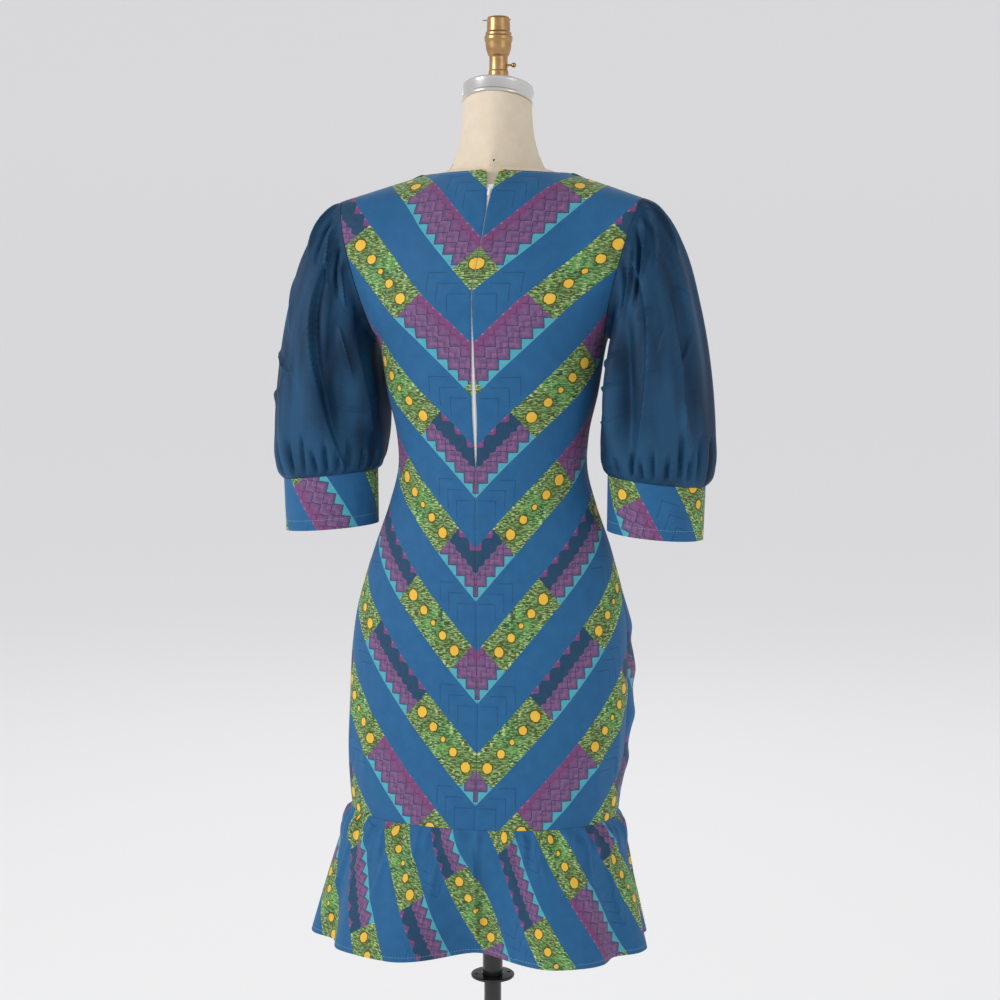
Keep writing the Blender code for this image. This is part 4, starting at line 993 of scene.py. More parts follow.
def make_ruffle(cloth):
    """The gathered hem ruffle in a back and a front length."""
    angles = np.arange(RUFFLE_TURNS) * math.tau / RUFFLE_TURNS
    gather, reach = ruffle_gathers(angles)
    base = np.array([[ruffle_point(angle, down) for angle in angles] for down in RUFFLE_PLACES])
    normal = tube_normals(base)
    down = RUFFLE_PLACES[:, None]
    start = np.clip(down / 0.05, 0, 1)
    fade = np.clip(1 - (down - 0.06) / np.maximum(reach[None], 0.05), 0, 1)
    lift = RUFFLE_GATHER * (gather - 0.55)[None] * start * fade ** 1.5
    lift = lift + crease_height(angles[None] / math.tau * RUFFLE_ROUND + 0 * down,
                                down * (SEAM_Z - HEM_Z) + 0 * lift, RUFFLE_CREASES, RUFFLE_ROUND)
    outer = base + lift[..., None] * normal
    inner = outer - CLOTH * normal
    hem = np.linalg.norm(np.roll(base[-1], -1, axis=0) - base[-1], axis=1) * RUFFLE_FULLNESS
    around = np.concatenate([[0.0], np.cumsum(hem)])
    quarter = RUFFLE_TURNS // 4
    made = {}
    for name, first in (("ruffle_back", -quarter), ("ruffle_front", quarter)):
        numbers = np.arange(first, first + 2 * quarter + 1)
        take = numbers % RUFFLE_TURNS
        along = around[take] + np.where(numbers < 0, -around[-1], 0.0)
        right = -along[None] + 0 * down
        places = turned(right, -down * RUFFLE_LONG + 0 * right, RUFFLE_PLACE)
        parts = outer[:, take].copy(), inner[:, take].copy()
        for points in parts:
            for edge in ("first_column", "last_column", "first_row"):
                draw_back(points, edge)
        piece = shell(f"cloth_{name}", *parts, places, cloth, "print_cloth")
        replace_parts(piece, name)
        made[name] = (parts[0], normal[:, take])
    return made


def make_seams(panels, cuffs, ruffles, thread):
    """Lines of stitching along the neckline, the cuffs and the hem."""
    for name, (outer, normal) in panels.items():
        row = np.searchsorted(PANEL_ROWS, 1 - NECK_HEM / PANEL_LONG)
        count = np.searchsorted(PANEL_COLUMNS, NECK_SIDE) + 1
        stitches(f"neck_stitches_{name}", outer[row, 2:count], normal[row, 2:count], thread)
    for side, grids in cuffs.items():
        line, outward = (np.concatenate([grid[CUFF_STITCH_ROW], grid[CUFF_STITCH_ROW, :1]]) for grid in grids)
        stitches(f"cuff_stitches_{side}", line, outward, thread)
    for name, (outer, normal) in ruffles.items():
        row = np.searchsorted(RUFFLE_PLACES, 1 - HEM_TURN / (SEAM_Z - HEM_Z))
        stitches(f"hem_stitches_{name}", outer[row, 1:-1], normal[row, 1:-1], thread)


def make_zip(panels, tape_cloth, enamel):
    """The white tape behind the open slit, its coil, the slider at the notch and the pull on it."""
    last = np.searchsorted(PANEL_COLUMNS, ZIP_TAPE_SHARE)
    (left, left_normal), (right, right_normal) = panels["back_left"], panels["back_right"]
    keep = [j for j, point in enumerate(left[:, 0]) if ZIP_BOTTOM_Z < point[2] < ZIP_TOP_Z]
    left = (left - (CLOTH + ZIP_TAPE_GAP) * left_normal)[keep, last::-1]
    right = (right - (CLOTH + ZIP_TAPE_GAP) * right_normal)[keep, :last + 1]
    out = (left_normal[:, 2] + right_normal[:, 2])[keep]
    out[:, 0] = 0.0
    out /= np.linalg.norm(out, axis=1, keepdims=True)
    across = np.array((1.0, 0.0, 0.0))
    middle = (left[:, -1] + right[:, 0]) / 2
    outer = np.concatenate([left, right], axis=1)
    inner = outer - ZIP_TAPE_THICK * out[:, None]
    flat = np.stack([outer[..., 0] - middle[:, :1], outer[..., 2]], axis=-1)
    tape = shell("tape_of_zip", outer, inner, flat, tape_cloth, "zip_tape")
    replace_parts(tape, "zip_tape")
    points, faces = [], []
    at = lengths_along(middle)
    corners = [(x, y, z) for z in (0, 1) for x, y in ((-1, -1), (1, -1), (1, 1), (-1, 1))]
    sides = [(k, (k + 1) % 4, (k + 1) % 4 + 4, k + 4) for k in range(4)] + [(4, 5, 6, 7), (3, 2, 1, 0)]
    for place in np.arange(0.002, at[-1] - 0.012, TOOTH_PITCH):
        here, direction = at_place(place, at, middle), at_place(place, at, out)
        up = np.cross(direction, across)
        faces += [[len(points) + corner for corner in side] for side in sides]
        points += [tuple(here + across * x * TOOTH_HALF * (0.8 if z else 1.0) + up * y * TOOTH_PITCH * 0.32
                         + direction * z * TOOTH_HEIGHT) for x, y, z in corners]
    mesh_object("coil_of_zip", points, faces, None, tape_cloth, "form")
    for node, body in (("zip_slider", "form"), ("zip_pull", "pull")):
        packed_copy(node, f"{node}_enamelled", enamel, body)


def rounded_loop(points, passes):
    """A closed loop of points with its corners softened, once for each pass."""
    for _ in range(passes):
        points = (np.roll(points, 1, axis=0) + 2 * points + np.roll(points, -1, axis=0)) / 4
    return points


def make_form(linen):
    """The linen form: torso, arm plates, neck and flat underside."""
    plans = [("back", 1), ("back", -1), ("front", 1), ("front", -1)]
    columns = sorted(set(np.round(np.linspace(0, 1, FORM_COLUMNS), 4)) | {NECK_ROOT_SIDE})
    grids = [body_grid(side, columns, FORM_ROWS_Z, neck_root_top, mirror, False) for side, mirror in plans]
    normals = shared_normals(grids, body_middle)
    insets = [FORM_INSET if z < UNDERARM_Z - 0.05 else SHOULDER_INSET for z in FORM_ROWS_Z]
    insets = np.array(insets + [SHOULDER_INSET] * (UPPER_ROWS + 1))[:, None, None]
    places = np.linspace(0, 1, FORM_ROWS)
    grids = [refine(grid - insets * normal, 0, places) for grid, normal in zip(grids, normals)]
    points, faces = [], []

    def add_points(new):
        points.extend(tuple(p) for p in new)
        return len(points) - len(new)

    for (_, mirror), grid in zip(plans, grids):
        rows, count = grid.shape[:2]
        start = add_points(grid.reshape(-1, 3))
        for j in range(rows - 1):
            for i in range(count - 1):
                corner = start + j * count + i
                faces.append([corner, corner + 1, corner + count + 1, corner + count])

    def loop_of(pick):
        left = list(pick(grids[0])) + list(pick(grids[2]))[::-1]
        right = list(pick(grids[3])) + list(pick(grids[1]))[::-1]
        return np.array(left + right)

    def band(low, high):
        start, above = add_points(low), add_points(high)
        count = len(low)
        for i in range(count):
            after = (i + 1) % count
            if np.linalg.norm(low[i] - low[after]) > 0.00001:
                faces.append([start + i, start + after, above + after, above + i])

    def cap(loop, centre):
        below = loop
        for share in PLATE_SHARES:
            ring = centre + (loop - centre) * share
            band(below, ring)
            below = ring

    bottom = loop_of(lambda grid: grid[0])
    centre = bottom.mean(axis=0)
    below = bottom
    for shrink, drop in UNDERSIDE:
        rim = centre + (bottom - centre) * shrink
        rim[:, 2] = bottom[:, 2] + drop * (FORM_BOTTOM_Z - bottom[:, 2])
        band(below, rim)
        below = rim
    cap(below, np.array((0.0, 0.0, FORM_BOTTOM_Z)))
    root_columns = columns.index(NECK_ROOT_SIDE) + 1
    root = loop_of(lambda grid: grid[-1, :root_columns])
    below = root
    for share in np.linspace(0.02, 1.0, NECK_STEPS):
        ring = rounded_loop(neck_ring_points(share, root), round(NECK_ROUNDING * share))
        band(below, ring)
        below = ring
    cap(below, below.mean(axis=0))
    for back, front, mirror in ((grids[0], grids[2], 1), (grids[1], grids[3], -1)):
        keep_back, keep_front = back[:, -1], front[:, -1][::-1]
        loop = np.array([p for p in keep_back if p[2] > UNDERARM_Z - 0.004]
                        + [p for p in keep_front if p[2] > UNDERARM_Z - 0.004])
        cap(loop, loop.mean(axis=0) + np.array((mirror * 0.004, 0, 0)))
    mesh = bpy.data.meshes.new("linen_form")
    mesh.from_pydata(points, [], faces)
    joined = bmesh.new()
    joined.from_mesh(mesh)
    bmesh.ops.remove_doubles(joined, verts=joined.verts[:], dist=0.00008)
    bmesh.ops.recalc_face_normals(joined, faces=joined.faces[:])
    joined.to_mesh(mesh)
    joined.free()
    mesh.shade_smooth()
    mesh.set_sharp_from_angle(angle=math.radians(50))
    mesh.materials.append(linen)
    form = linked_object("linen_form", mesh)
    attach(form, "form")
    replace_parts(form, "form_body")


def neck_ring_points(share, loop):
    """Points of the form's neck at a share of its height, over the points of its root loop."""
    tilt = np.array(((1, 0, 0), (0, math.cos(NECK_TILT), math.sin(NECK_TILT)),
                     (0, -math.sin(NECK_TILT), math.cos(NECK_TILT))))
    centre = loop.mean(axis=0)
    angles = np.arctan2(loop[:, 1] - centre[1], loop[:, 0] - centre[0])
    flat = np.stack([np.cos(angles), np.sin(angles), 0 * angles], axis=1) * NECK_RADIUS
    top = flat @ tilt + np.array(NECK_TOP)
    ring = (1 - share ** 0.7) * loop + share ** 0.7 * top
    height = (1 - share) * loop[:, 2] + share * top[:, 2]
    middle = ring.mean(axis=0)
    ring = middle + (1 - 0.06 * math.sin(math.pi * share)) * (ring - middle)
    ring[:, 2] = height
    return ring


def rounded_profile(corners, radius, steps=4):
    """A profile with its inner corners rounded off."""
    result = [corners[0]]
    for before, here, after in zip(corners, corners[1:], corners[2:]):
        before, here, after = (np.array(p) for p in (before, here, after))
        into, away = here - before, after - here
        size = min(radius, np.linalg.norm(into) * 0.45, np.linalg.norm(away) * 0.45)
        start = here - into / np.linalg.norm(into) * size
        end = here + away / np.linalg.norm(away) * size
        for k in range(steps + 1):
            t = k / steps
            result.append(tuple((1 - t) ** 2 * start + 2 * t * (1 - t) * here + t ** 2 * end))
    return result + [corners[-1]]


def make_neck_cap_and_finial(chrome, gold):
    """The chrome cap, the small plate on it, the gilt finial with its pin, and the thumbscrew."""
    tilt = Matrix.Rotation(NECK_TILT, 4, "X")
    normal = tilt @ Vector((0, 0, 1))
    waist = CAP_RADIUS - CAP_GROOVE
    cap = [(0.0, CAP_HEIGHT), (CAP_RADIUS, CAP_HEIGHT), (CAP_RADIUS, CAP_HEIGHT - CAP_LIP),
           (waist, CAP_HEIGHT - CAP_LIP - 0.0007), (waist, CAP_LIP + 0.0007), (CAP_RADIUS, CAP_LIP),
           (CAP_RADIUS, 0.0), (0.0, 0.0)]
    revolve("neck_ring", "chrome_cap", rounded_profile(cap, 0.0011), 120, chrome, "form",
            Matrix.Translation(NECK_TOP + normal * CLEARANCE) @ tilt)
    seat = NECK_TOP + normal * (2 * CLEARANCE + CAP_HEIGHT)
    plate = [(0.0, PLATE_HEIGHT), (PLATE_RADIUS, PLATE_HEIGHT), (PLATE_RADIUS, 0.0), (0.0, 0.0)]
    revolve("finial_plate", "gilt_plate", rounded_profile(plate, 0.0009), 64, gold, "form",
            Matrix.Translation(seat) @ tilt)
    foot = [(radius, z if z > FINIAL_FOOT_Z else z + FINIAL_LIFT) for radius, z in FINIAL_PROFILE]
    revolve("finial", "gilt_finial", rounded_profile(foot, 0.0010, 3), 72, gold, "form",
            Matrix.Translation(Vector((seat.x, seat.y, 0.0))))
    half = PIN_LENGTH / 2
    pin = [(0.0, half), (PIN_RADIUS, half), (PIN_RADIUS, -half), (0.0, -half)]
    revolve("finial", "gilt_pin", pin, 16, gold, "form",
            Matrix.Translation((seat.x + PIN_ASIDE, seat.y, PIN_Z)) @ Matrix.Rotation(math.pi / 2, 4, "Y"))
    ball = [(0.0, SCREW_REACH + SCREW_BALL)]
    ball += [(SCREW_BALL * math.sin(math.pi * k / 16), SCREW_REACH + SCREW_BALL * math.cos(math.pi * k / 16))
             for k in range(1, 14)]
    ball += [(SCREW_STEM, SCREW_REACH - SCREW_BALL), (SCREW_STEM, SCREW_START), (0.0, SCREW_START)]
    revolve("thumbscrew", "gilt_thumbscrew", ball, 32, gold, "form",
            Matrix.Translation((seat.x, seat.y, SCREW_Z)) @ Matrix.Rotation(-math.pi / 2, 4, "Y"))


def make_stand(black):
    """The glossy post with its drilled flange, the tube in it and the base."""
    packed_copy("post", "black_post", black, "pole")
    tube_bottom = HUB_TOP_Z + CLEARANCE
    tube = [(0.0, TUBE_TOP_Z), (TUBE_RADIUS, TUBE_TOP_Z), (TUBE_RADIUS, tube_bottom), (0.0, tube_bottom)]
    revolve("stand_tube", "black_tube", rounded_profile(tube, 0.0010), 64, black, "stand")
    revolve("base", "black_base", rounded_profile(BASE_PROFILE, 0.0025), 128, black, "stand")


def studio_material():
    """Pale paper that glows evenly, brighter close to the stand than on the far wall."""
    material = plain_material("studio_paper", (0.30, 0.30, 0.31, 1.0), 0.9)
    material.cycles.emission_sampling = "NONE"
    tree = material.node_tree
    shader = tree.nodes["Principled BSDF"]
    shader.inputs["Emission Strength"].default_value = STUDIO_GLOW
    place = tree.nodes.new("ShaderNodeNewGeometry").outputs["Position"]
    far = tree.nodes.new("ShaderNodeVectorMath")
    far.operation = "LENGTH"
    tree.links.new(place, far.inputs[0])
    share = (Shade(tree, far.outputs["Value"]) - NEAR_REACH).math("MULTIPLY", 1 / FAR_REACH, clamp=True)
    tree.links.new(mixed(tree, share, STUDIO_NEAR, STUDIO_FAR), shader.inputs["Emission Color"])
    return material


def make_stage():
    """A floor that curves up into a pale wall all round."""
    profile = [(0.0, 0.0), (FLOOR_RADIUS, 0.0)]
    profile += [(FLOOR_RADIUS + WALL_CURVE * math.sin(a), WALL_CURVE - WALL_CURVE * math.cos(a))
                for a in np.linspace(0.05, math.pi / 2, 16)]
    profile += [(FLOOR_RADIUS + WALL_CURVE, WALL_TOP)]
    points, faces = turned_mesh([(radius, height - 0.0005) for radius, height in profile], 96)
    mesh = bpy.data.meshes.new("studio")
    mesh.from_pydata(points, [], faces)
    mesh.shade_smooth()
    mesh.materials.append(studio_material())
    linked_object("studio", mesh)


def area_light(name, where, target, size, power):
    data = bpy.data.lights.new(name, "AREA")
    data.shape = "RECTANGLE"
    data.size, data.size_y = size
    data.energy = power
    light = linked_object(name, data)
    light.location = where
    light.rotation_euler = (Vector(target) - Vector(where)).to_track_quat("-Z", "Y").to_euler()


def make_lights_and_camera():
    """The lamps, the even light of the air round them, and the camera."""
    for light in LIGHTS:
        area_light(*light)
    world = bpy.data.worlds.new("studio_air")
    world.use_nodes = True
    background = world.node_tree.nodes["Background"]
    background.inputs["Color"].default_value = (1.0, 1.0, 1.0, 1.0)
    background.inputs["Strength"].default_value = WORLD_STRENGTH
    bpy.context.scene.world = world
    out = Vector((-math.sin(CAMERA_YAW), math.cos(CAMERA_YAW), 0.0))
    right = Vector((-math.cos(CAMERA_YAW), -math.sin(CAMERA_YAW), 0.0))
    data = bpy.data.cameras.new("camera")
    data.lens = CAMERA_LENS
    camera = linked_object("camera", data)
    camera.location = out * CAMERA_DISTANCE + right * CAMERA_ASIDE + Vector((0, 0, CAMERA_HEIGHT))
    look = -out * math.cos(CAMERA_TILT) - Vector((0, 0, math.sin(CAMERA_TILT)))
    camera.rotation_euler = look.to_track_quat("-Z", "Y").to_euler()
    bpy.context.scene.camera = camera
    bpy.context.scene.view_settings.view_transform = "Standard"


# Thickness of the thin cloth, the dents along its middle and side seams, and how far in it may dip
CLOTH = 0.0011
SATIN = 0.0009
MIDDLE_DENT = 0.0007
MIDDLE_DENT_WIDE = 0.0018
SIDE_DENT = 0.0006
SIDE_DENT_WIDE = 0.0020
DEEPEST = 0.0010

# The print: one repeat across the stripes, the patterned band in it, and the run of one patch and one
# purple length along a stripe
REPEAT = 0.0932
BAND = 0.0475
RUN = 0.2470
PRINT_START = 0.9086
GREEN_START = 1.1328
GREEN_STEP = 0.1192
# How far the stripes lean from 45 degrees where the panels are shaped: run across for each metre up
STRIPE_LEAN = [(0.595, 1.08), (0.70, 1.10), (0.86, 1.18), (1.00, 1.16), (1.15, 0.93), (1.25, 0.90)]
PRINT_WANDER = 0.0012
GREEN_HALF = 0.0620
GOLD_DOTS = [(-0.0482, 0.00675), (-0.0215, 0.0055), (0.0005, 0.0034), (0.0225, 0.0059), (0.0483, 0.0072)]
STEP_PERIOD = 0.0187
STEP_HEIGHT = 0.0093
STEP_FOOT = 0.0020
SCALE_ROW = 0.0115
# Small zigzags of the print, each by its period and its height
PINK_POINTS = (0.0115, 0.0060)
NAVY_FOOT = (0.0125, 0.0040)
NAVY_TIPS = (0.0235, 0.0105)
CORNER_START = 1.0393
CORNER_SPACING = 0.0190
CORNER_LEG = 0.0170

# Fineness of the cloth, and the lengths round and along a sleeve that its creases are placed in
PANEL_COLUMNS = spaced(62, (0.004, 0.009, 0.016, 0.025), (0.004, 0.010, 0.018))
PANEL_COLUMNS = np.unique(np.append(PANEL_COLUMNS, NECK_SIDE))
PANEL_ROWS = spaced(230, (0.001, 0.003), (0.001, 0.003))
SLEEVE_TURNS = 280
SLEEVE_PLACES = spaced(130, (0.003,), (0.003,))
SLEEVE_ROUND = 0.460
SLEEVE_LONG = 0.400
SLEEVE_CALM = 0.035
CUFF_ROUND = 0.385
RUFFLE_TURNS = 720
RUFFLE_ROUND = 1.19
RUFFLE_PLACES = spaced(62, (0.004, 0.010, 0.022), (0.006, 0.014))
RUFFLE_FULLNESS = 1.13
RUFFLE_LONG = 0.186
RUFFLE_GATHER = 0.0052
# Where the print starts on a piece that is cut at an angle, and that angle in degrees
Place = namedtuple("Place", "s t turn")
RUFFLE_PLACE = Place(1.1497, 0.7993, -60.0)
CUFF_PLACE = {"left": Place(0.9096, 1.0022, -60.0), "right": Place(1.0343, 1.0574, 120.0)}
# How far along the sleeve the short gathers above the cuff seam end
GATHERS_END = 0.398

# Creases, listed one by one: both ends (round the piece and up or along it), how far it bows to a side, its
# half width, its height, which is below zero for a trough, and the share of the width on its steep side
Crease = namedtuple("Crease", "around up to_around to_up bow width height steep", defaults=(1.0,))


def creases(rows):
    return [Crease(*row) for row in rows]


def cuff_gathers(rows):
    """Short creases down to the cuff seam: place, where it starts, place at its end, half width, height."""
    return [Crease(place, start, end, GATHERS_END, 0.001, width, height)
            for place, start, end, width, height in rows]


CREASES = {
    "back": creases([
        (0.128, 1.18, 0.085, 1.235, 0.004, 0.005, 0.0014),
        (0.135, 1.13, 0.09, 1.15, 0.003, 0.006, 0.0012),
        (-0.13, 1.175, -0.08, 1.215, -0.004, 0.005, 0.0015),
        (-0.118, 1.085, -0.06, 1.06, 0.003, 0.006, 0.0012),
        (0.112, 1.06, 0.05, 1.035, -0.003, 0.0065, 0.0013),
        (0.12, 1.01, 0.07, 1.0, 0.002, 0.0055, 0.0011),
        (-0.125, 1.02, -0.075, 1.03, 0.002, 0.006, 0.001),
        (-0.06, 1.43, -0.028, 1.385, 0.003, 0.006, 0.0013),
        (-0.085, 1.425, -0.05, 1.375, 0.003, 0.007, 0.0012),
        (0.07, 1.42, 0.04, 1.36, -0.003, 0.007, 0.001),
        (0.17, 0.64, 0.15, 0.76, 0.004, 0.009, 0.0026, 0.6),
        (0.215, 0.625, 0.2, 0.78, 0.003, 0.008, 0.0024, 0.7),
        (0.105, 0.6, 0.095, 0.68, 0.002, 0.008, 0.0018),
        (-0.12, 0.6, -0.105, 0.7, -0.003, 0.008, 0.002),
        (-0.165, 0.605, -0.15, 0.72, -0.004, 0.009, 0.0024, 0.7),
        (-0.205, 0.62, -0.19, 0.8, -0.003, 0.008, 0.0022, 0.8),
        (-0.05, 0.598, -0.045, 0.65, 0.001, 0.006, 0.0014),
        (0.035, 0.598, 0.033, 0.64, 0.001, 0.006, 0.0012),
    ]),
    "front": creases([
        (0.06, 1.18, 0.13, 1.15, 0.004, 0.006, 0.0016),
        (-0.06, 1.175, -0.125, 1.14, -0.004, 0.006, 0.0015),
        (0.04, 1.06, 0.12, 1.045, 0.003, 0.007, 0.0013),
        (-0.05, 1.055, -0.115, 1.03, 0.003, 0.007, 0.0014),
        (0.075, 1.33, 0.12, 1.28, 0.003, 0.007, 0.0014),
        (-0.08, 1.335, -0.115, 1.27, 0.003, 0.007, 0.0013),
        (0.05, 0.6, 0.06, 0.7, 0.003, 0.009, 0.0022),
        (-0.045, 0.6, -0.06, 0.72, 0.003, 0.009, 0.002),
        (0.13, 0.61, 0.135, 0.76, 0.003, 0.009, 0.0024, 0.8),
        (-0.125, 0.61, -0.14, 0.75, 0.003, 0.009, 0.0024, 0.8),
    ]),
}

# Sleeves: 0 round the sleeve is its outer line, a quarter of SLEEVE_ROUND further is behind, and 0 along
# it is the armhole
HIDDEN_SLEEVE_CREASES = creases([
    (0.27, 0.03, 0.262, 0.37, 0.006, 0.026, 0.0119, 0.2),
    (0.33, 0.02, 0.318, 0.35, -0.008, 0.03, 0.013, 0.16),
    (0.39, 0.03, 0.372, 0.38, 0.006, 0.02, 0.0085, 0.4),
    (0.36, 0.06, 0.35, 0.33, 0.004, 0.009, -0.0068),
    (0.3, 0.08, 0.33, 0.15, 0.002, 0.005, 0.0042, 0.6),
    (0.345, 0.19, 0.3, 0.23, 0.002, 0.0055, 0.0039, 0.6),
    (0.41, 0.15, 0.365, 0.185, 0.002, 0.005, 0.0039, 0.6),
])
HIDDEN_SLEEVE_CREASES += cuff_gathers([
    (place, 0.340 - long, place + lean, 0.0034, -0.0068) for place, long, lean in (
        (0.248, 0.02, 0.004), (0.272, 0.05, -0.003), (0.296, 0.01, 0.002), (0.318, 0.04, 0.004),
        (0.343, 0.02, -0.002), (0.369, 0.05, 0.003), (0.392, 0.01, -0.003), (0.418, 0.03, 0.002),
        (0.441, 0.02, 0.001))
])
SLEEVE_CREASES = {
    "left": creases([
        (0.086, 0.006, 0.16, 0.392, -0.008, 0.034, 0.0184, 0.08),
        (0.11, 0.03, 0.125, 0.23, 0.003, 0.01, 0.0059, 0.6),
        (0.148, 0.01, 0.197, 0.29, 0.004, 0.024, 0.0151, 0.16),
        (0.139, 0.086, 0.162, 0.17, 0.001, 0.0042, 0.0071, 0.45),
        (0.022, 0.222, 0.092, 0.238, 0.002, 0.005, 0.0047, 0.5),
        (0.03, 0.12, 0.062, 0.18, 0.002, 0.006, 0.0033, 0.6),
        (0.02, 0.29, 0.066, 0.262, 0.002, 0.006, 0.0039, 0.6),
        (0.15, 0.25, 0.186, 0.228, 0.001, 0.005, 0.0035, 0.6),
        (0.12, 0.18, 0.14, 0.33, 0.003, 0.012, -0.0076),
        (0.06, 0.2, 0.07, 0.38, 0.003, 0.014, 0.0068, 0.7),
        (0.02, 0.004, 0.058, 0.075, 0.001, 0.004, 0.0068, 0.6),
        (0.04, 0.004, 0.082, 0.062, 0.001, 0.0036, -0.0068),
        (0.058, 0.003, 0.11, 0.06, 0.001, 0.0036, 0.0071, 0.6),
        (0.08, 0.003, 0.128, 0.05, 0.001, 0.0032, -0.0061),
        (0.1, 0.003, 0.14, 0.045, 0.001, 0.0034, 0.0057, 0.6),
        (0.005, 0.006, 0.015, 0.08, 0.001, 0.005, 0.0057, 0.6),
    ]) + cuff_gathers([
        (0.078, 0.33, 0.081, 0.0034, -0.0085), (0.1, 0.315, 0.101, 0.003, -0.0068),
        (0.114, 0.34, 0.119, 0.003, -0.0074), (0.13, 0.32, 0.133, 0.003, -0.0074),
        (0.146, 0.335, 0.148, 0.0032, -0.0068), (0.164, 0.31, 0.161, 0.0034, -0.0068),
        (0.186, 0.33, 0.182, 0.0034, -0.0068), (0.052, 0.34, 0.056, 0.0034, -0.0074),
        (0.024, 0.32, 0.028, 0.0036, -0.0074), (0.212, 0.33, 0.21, 0.0034, -0.0068),
    ]) + HIDDEN_SLEEVE_CREASES,
    "right": creases([
        (0.1, 0.01, 0.137, 0.392, -0.006, 0.028, 0.0173, 0.1),
        (0.142, 0.06, 0.143, 0.37, 0.002, 0.011, -0.013),
        (0.166, 0.015, 0.174, 0.37, 0.003, 0.02, 0.013, 0.6),
        (0.074, 0.35, 0.076, 0.05, 0.003, 0.024, 0.0085, 0.12),
        (0.04, 0.06, 0.052, 0.33, 0.004, 0.016, 0.0068, 0.6),
        (0.048, 0.003, 0.104, 0.062, 0.001, 0.0038, 0.0081, 0.5),
        (0.062, 0.003, 0.124, 0.078, 0.001, 0.004, -0.0074),
        (0.03, 0.003, 0.078, 0.08, 0.001, 0.0044, 0.0074, 0.5),
        (0.084, 0.003, 0.146, 0.07, 0.001, 0.0036, 0.0068, 0.5),
        (0.104, 0.003, 0.15, 0.048, 0.001, 0.0034, -0.0061),
        (0.012, 0.004, 0.036, 0.09, 0.001, 0.005, 0.0061, 0.6),
        (0.096, 0.12, 0.118, 0.096, 0.001, 0.0046, 0.0042, 0.5),
        (0.078, 0.15, 0.1, 0.19, 0.001, 0.0044, 0.0039, 0.5),
        (0.092, 0.215, 0.122, 0.2, 0.001, 0.0044, 0.0035, 0.5),
        (0.15, 0.11, 0.19, 0.122, 0.001, 0.0046, 0.0033, 0.6),
        (0.148, 0.18, 0.192, 0.172, 0.001, 0.0046, 0.0033, 0.6),
        (0.152, 0.25, 0.196, 0.262, 0.001, 0.0048, 0.0033, 0.6),
        (0.05, 0.19, 0.078, 0.24, 0.001, 0.005, 0.0042, 0.5),
        (0.034, 0.15, 0.062, 0.12, 0.001, 0.005, 0.0039, 0.5),
        (0.07, 0.27, 0.056, 0.37, 0.006, 0.006, 0.0077, 0.6),
    ]) + cuff_gathers([
        (0.19, 0.335, 0.188, 0.0034, -0.0074), (0.164, 0.345, 0.166, 0.0034, -0.0068),
        (0.139, 0.33, 0.14, 0.003, -0.0074), (0.125, 0.345, 0.126, 0.0028, -0.0068),
        (0.11, 0.325, 0.112, 0.003, -0.0068), (0.092, 0.345, 0.094, 0.003, -0.0068),
        (0.074, 0.31, 0.076, 0.0034, -0.0085), (0.06, 0.335, 0.062, 0.003, -0.0068),
        (0.044, 0.32, 0.047, 0.0034, -0.0074), (0.02, 0.33, 0.022, 0.0036, -0.0068),
        (0.214, 0.33, 0.212, 0.0034, -0.0068),
    ]) + HIDDEN_SLEEVE_CREASES,
}
CUFF_CREASES = {
    "left": creases([
        (0.06, 0.004, 0.09, 0.06, 0.002, 0.007, 0.001),
        (0.14, 0.01, 0.15, 0.064, 0.002, 0.007, 0.001),
        (0.26, 0.01, 0.25, 0.064, 0.002, 0.008, 0.0012),
    ]),
    "right": creases([
        (0.075, 0.004, 0.06, 0.06, 0.002, 0.007, 0.001),
        (0.13, 0.01, 0.15, 0.05, 0.002, 0.007, 0.001),
        (0.3, 0.01, 0.29, 0.064, 0.002, 0.008, 0.0012),
    ]),
}
# Ruffle: round it from the centre back towards +X, and down from its seam
RUFFLE_CREASES = creases([
    (-0.02, 0.17, -0.01, 0.004, 0.002, 0.017, 0.007, 0.15),
    (0.02, 0.01, 0.036, 0.12, 0.003, 0.006, 0.003, 0.6),
    (0.052, 0.008, 0.06, 0.09, 0.003, 0.005, 0.0026, 0.6),
    (0.09, 0.006, 0.11, 0.13, 0.003, 0.007, 0.0032, 0.6),
    (0.14, 0.01, 0.15, 0.11, 0.003, 0.006, 0.003, 0.6),
    (0.185, 0.02, 0.215, 0.16, 0.003, 0.009, 0.004, 0.6),
    (-0.06, 0.01, -0.072, 0.1, 0.003, 0.0055, 0.003, 0.6),
    (-0.1, 0.008, -0.108, 0.07, 0.003, 0.005, 0.0026, 0.6),
    (-0.15, 0.008, -0.17, 0.12, 0.003, 0.007, 0.0034, 0.6),
    (-0.215, 0.01, -0.235, 0.15, 0.003, 0.008, 0.0036, 0.6),
    (0.3, 0.01, 0.31, 0.12, 0.003, 0.007, 0.0032, 0.6),
    (0.38, 0.01, 0.4, 0.14, 0.003, 0.008, 0.0034, 0.6),
    (0.47, 0.01, 0.48, 0.11, 0.003, 0.007, 0.003, 0.6),
    (0.56, 0.01, 0.585, 0.15, 0.003, 0.008, 0.0034, 0.6),
    (-0.33, 0.01, -0.345, 0.13, 0.003, 0.007, 0.0032, 0.6),
    (-0.43, 0.01, -0.45, 0.12, 0.003, 0.008, 0.0034, 0.6),
    (-0.52, 0.01, -0.53, 0.15, 0.003, 0.007, 0.003, 0.6),
])

# Zip: the top of its tape, the share of a panel's width that the tape reaches, how far it lies behind the
# cloth, its thickness, and the coil's pitch and size
ZIP_TOP_Z = 1.424
ZIP_TAPE_SHARE = 0.050
ZIP_TAPE_GAP = 0.0006
ZIP_TAPE_THICK = 0.0006
TOOTH_PITCH = 0.0016
TOOTH_HALF = 0.0016
TOOTH_HEIGHT = 0.0007
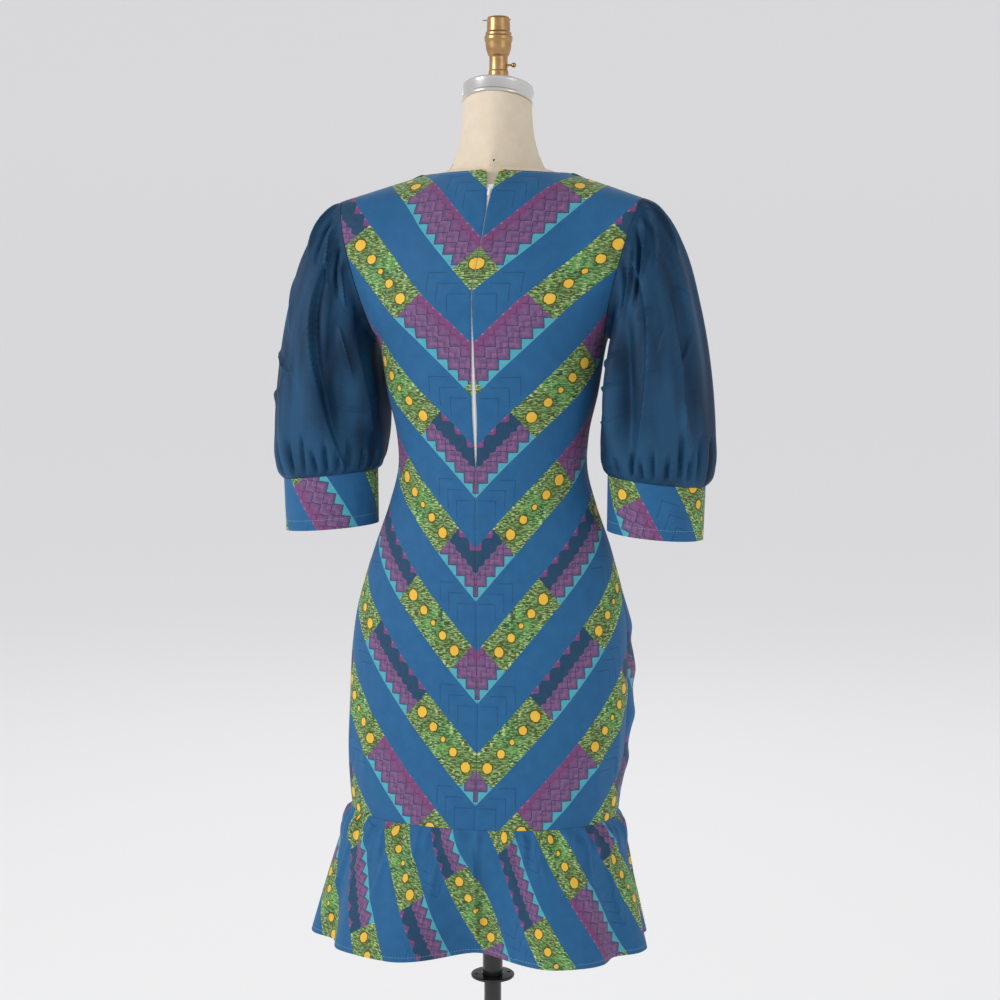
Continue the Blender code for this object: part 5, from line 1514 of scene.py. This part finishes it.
# Stitching: how far it lies from the neck edge, on a panel of about PANEL_LONG, and from the hem, and the
# row of points that it follows on a cuff
NECK_HEM = 0.0050
PANEL_LONG = 0.84
HEM_TURN = 0.0080
CUFF_STITCH_ROW = -8

# Form: how fine it is, the shares at which its flat ends shrink to their middle, and how its underside
# turns in: the share of its outline that is left, and of the way down to its flat bottom
FORM_COLUMNS = 31
FORM_ROWS = 90
NECK_STEPS = 26
NECK_ROUNDING = 8
PLATE_SHARES = (0.97, 0.90, 0.6, 0.3, 0.02)
UNDERSIDE = ((0.995, 0.30), (0.985, 0.65), (0.965, 0.90), (0.94, 1.0))

# Camera, behind the dress and a little to its left, and the studio
CAMERA_YAW = math.radians(13.0)
CAMERA_TILT = 0.105
CAMERA_LENS = 71.98
CAMERA_DISTANCE = 2.6375
CAMERA_ASIDE = 0.00986
CAMERA_HEIGHT = 1.2876
FLOOR_RADIUS = 5.0
WALL_CURVE = 2.0
WALL_TOP = 9.0
STUDIO_GLOW = 0.60
STUDIO_NEAR = (1.0, 1.0, 1.0, 1.0)
STUDIO_FAR = (0.79, 0.79, 0.80, 1.0)
NEAR_REACH = 0.8
FAR_REACH = 6.2
WORLD_STRENGTH = 0.32
LIGHTS = [
    ("key", (2.9, 2.5, 2.5), (0, 0, 1.1), (1.2, 1.2), 70.0),
    ("fill", (-3.0, 2.2, 1.9), (0, 0, 1.0), (1.6, 2.2), 12.0),
    ("front", (0.6, -3.2, 2.8), (0, 0, 1.1), (2.0, 2.0), 25.0),
]

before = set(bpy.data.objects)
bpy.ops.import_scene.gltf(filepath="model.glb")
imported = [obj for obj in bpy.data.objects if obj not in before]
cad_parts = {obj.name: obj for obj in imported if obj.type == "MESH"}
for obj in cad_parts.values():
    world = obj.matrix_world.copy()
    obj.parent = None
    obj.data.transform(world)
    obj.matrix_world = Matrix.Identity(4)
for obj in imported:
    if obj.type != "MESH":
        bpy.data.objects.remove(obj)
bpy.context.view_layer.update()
cloth = print_material()
satin = satin_material()
linen = mottled_material("linen_look", seen(222, 206, 182), seen(230, 216, 194), 60.0, 0.92,
                         bump=(700.0, 0.0002))
chrome = plain_material("chrome_look", (0.72, 0.71, 0.69, 1.0), 0.22, 1.0)
gold = mottled_material("gilt_look", seen(170, 132, 88), seen(196, 160, 112), 120.0, 0.34, 1.0)
black = plain_material("black_look", (0.018, 0.018, 0.019, 1.0), 0.22)
white_tape = plain_material("tape_look", seen(232, 232, 232), 0.7)
enamel = plain_material("enamel_look", seen(236, 236, 236), 0.3)
thread = plain_material("thread_look", seen(150, 180, 206), 0.7)

panels = make_panels(cloth)
cuffs = make_sleeves(cloth, satin)
ruffles = make_ruffle(cloth)
make_seams(panels, cuffs, ruffles, thread)
make_zip(panels, white_tape, enamel)
make_form(linen)
make_neck_cap_and_finial(chrome, gold)
make_stand(black)
make_stage()
make_lights_and_camera()
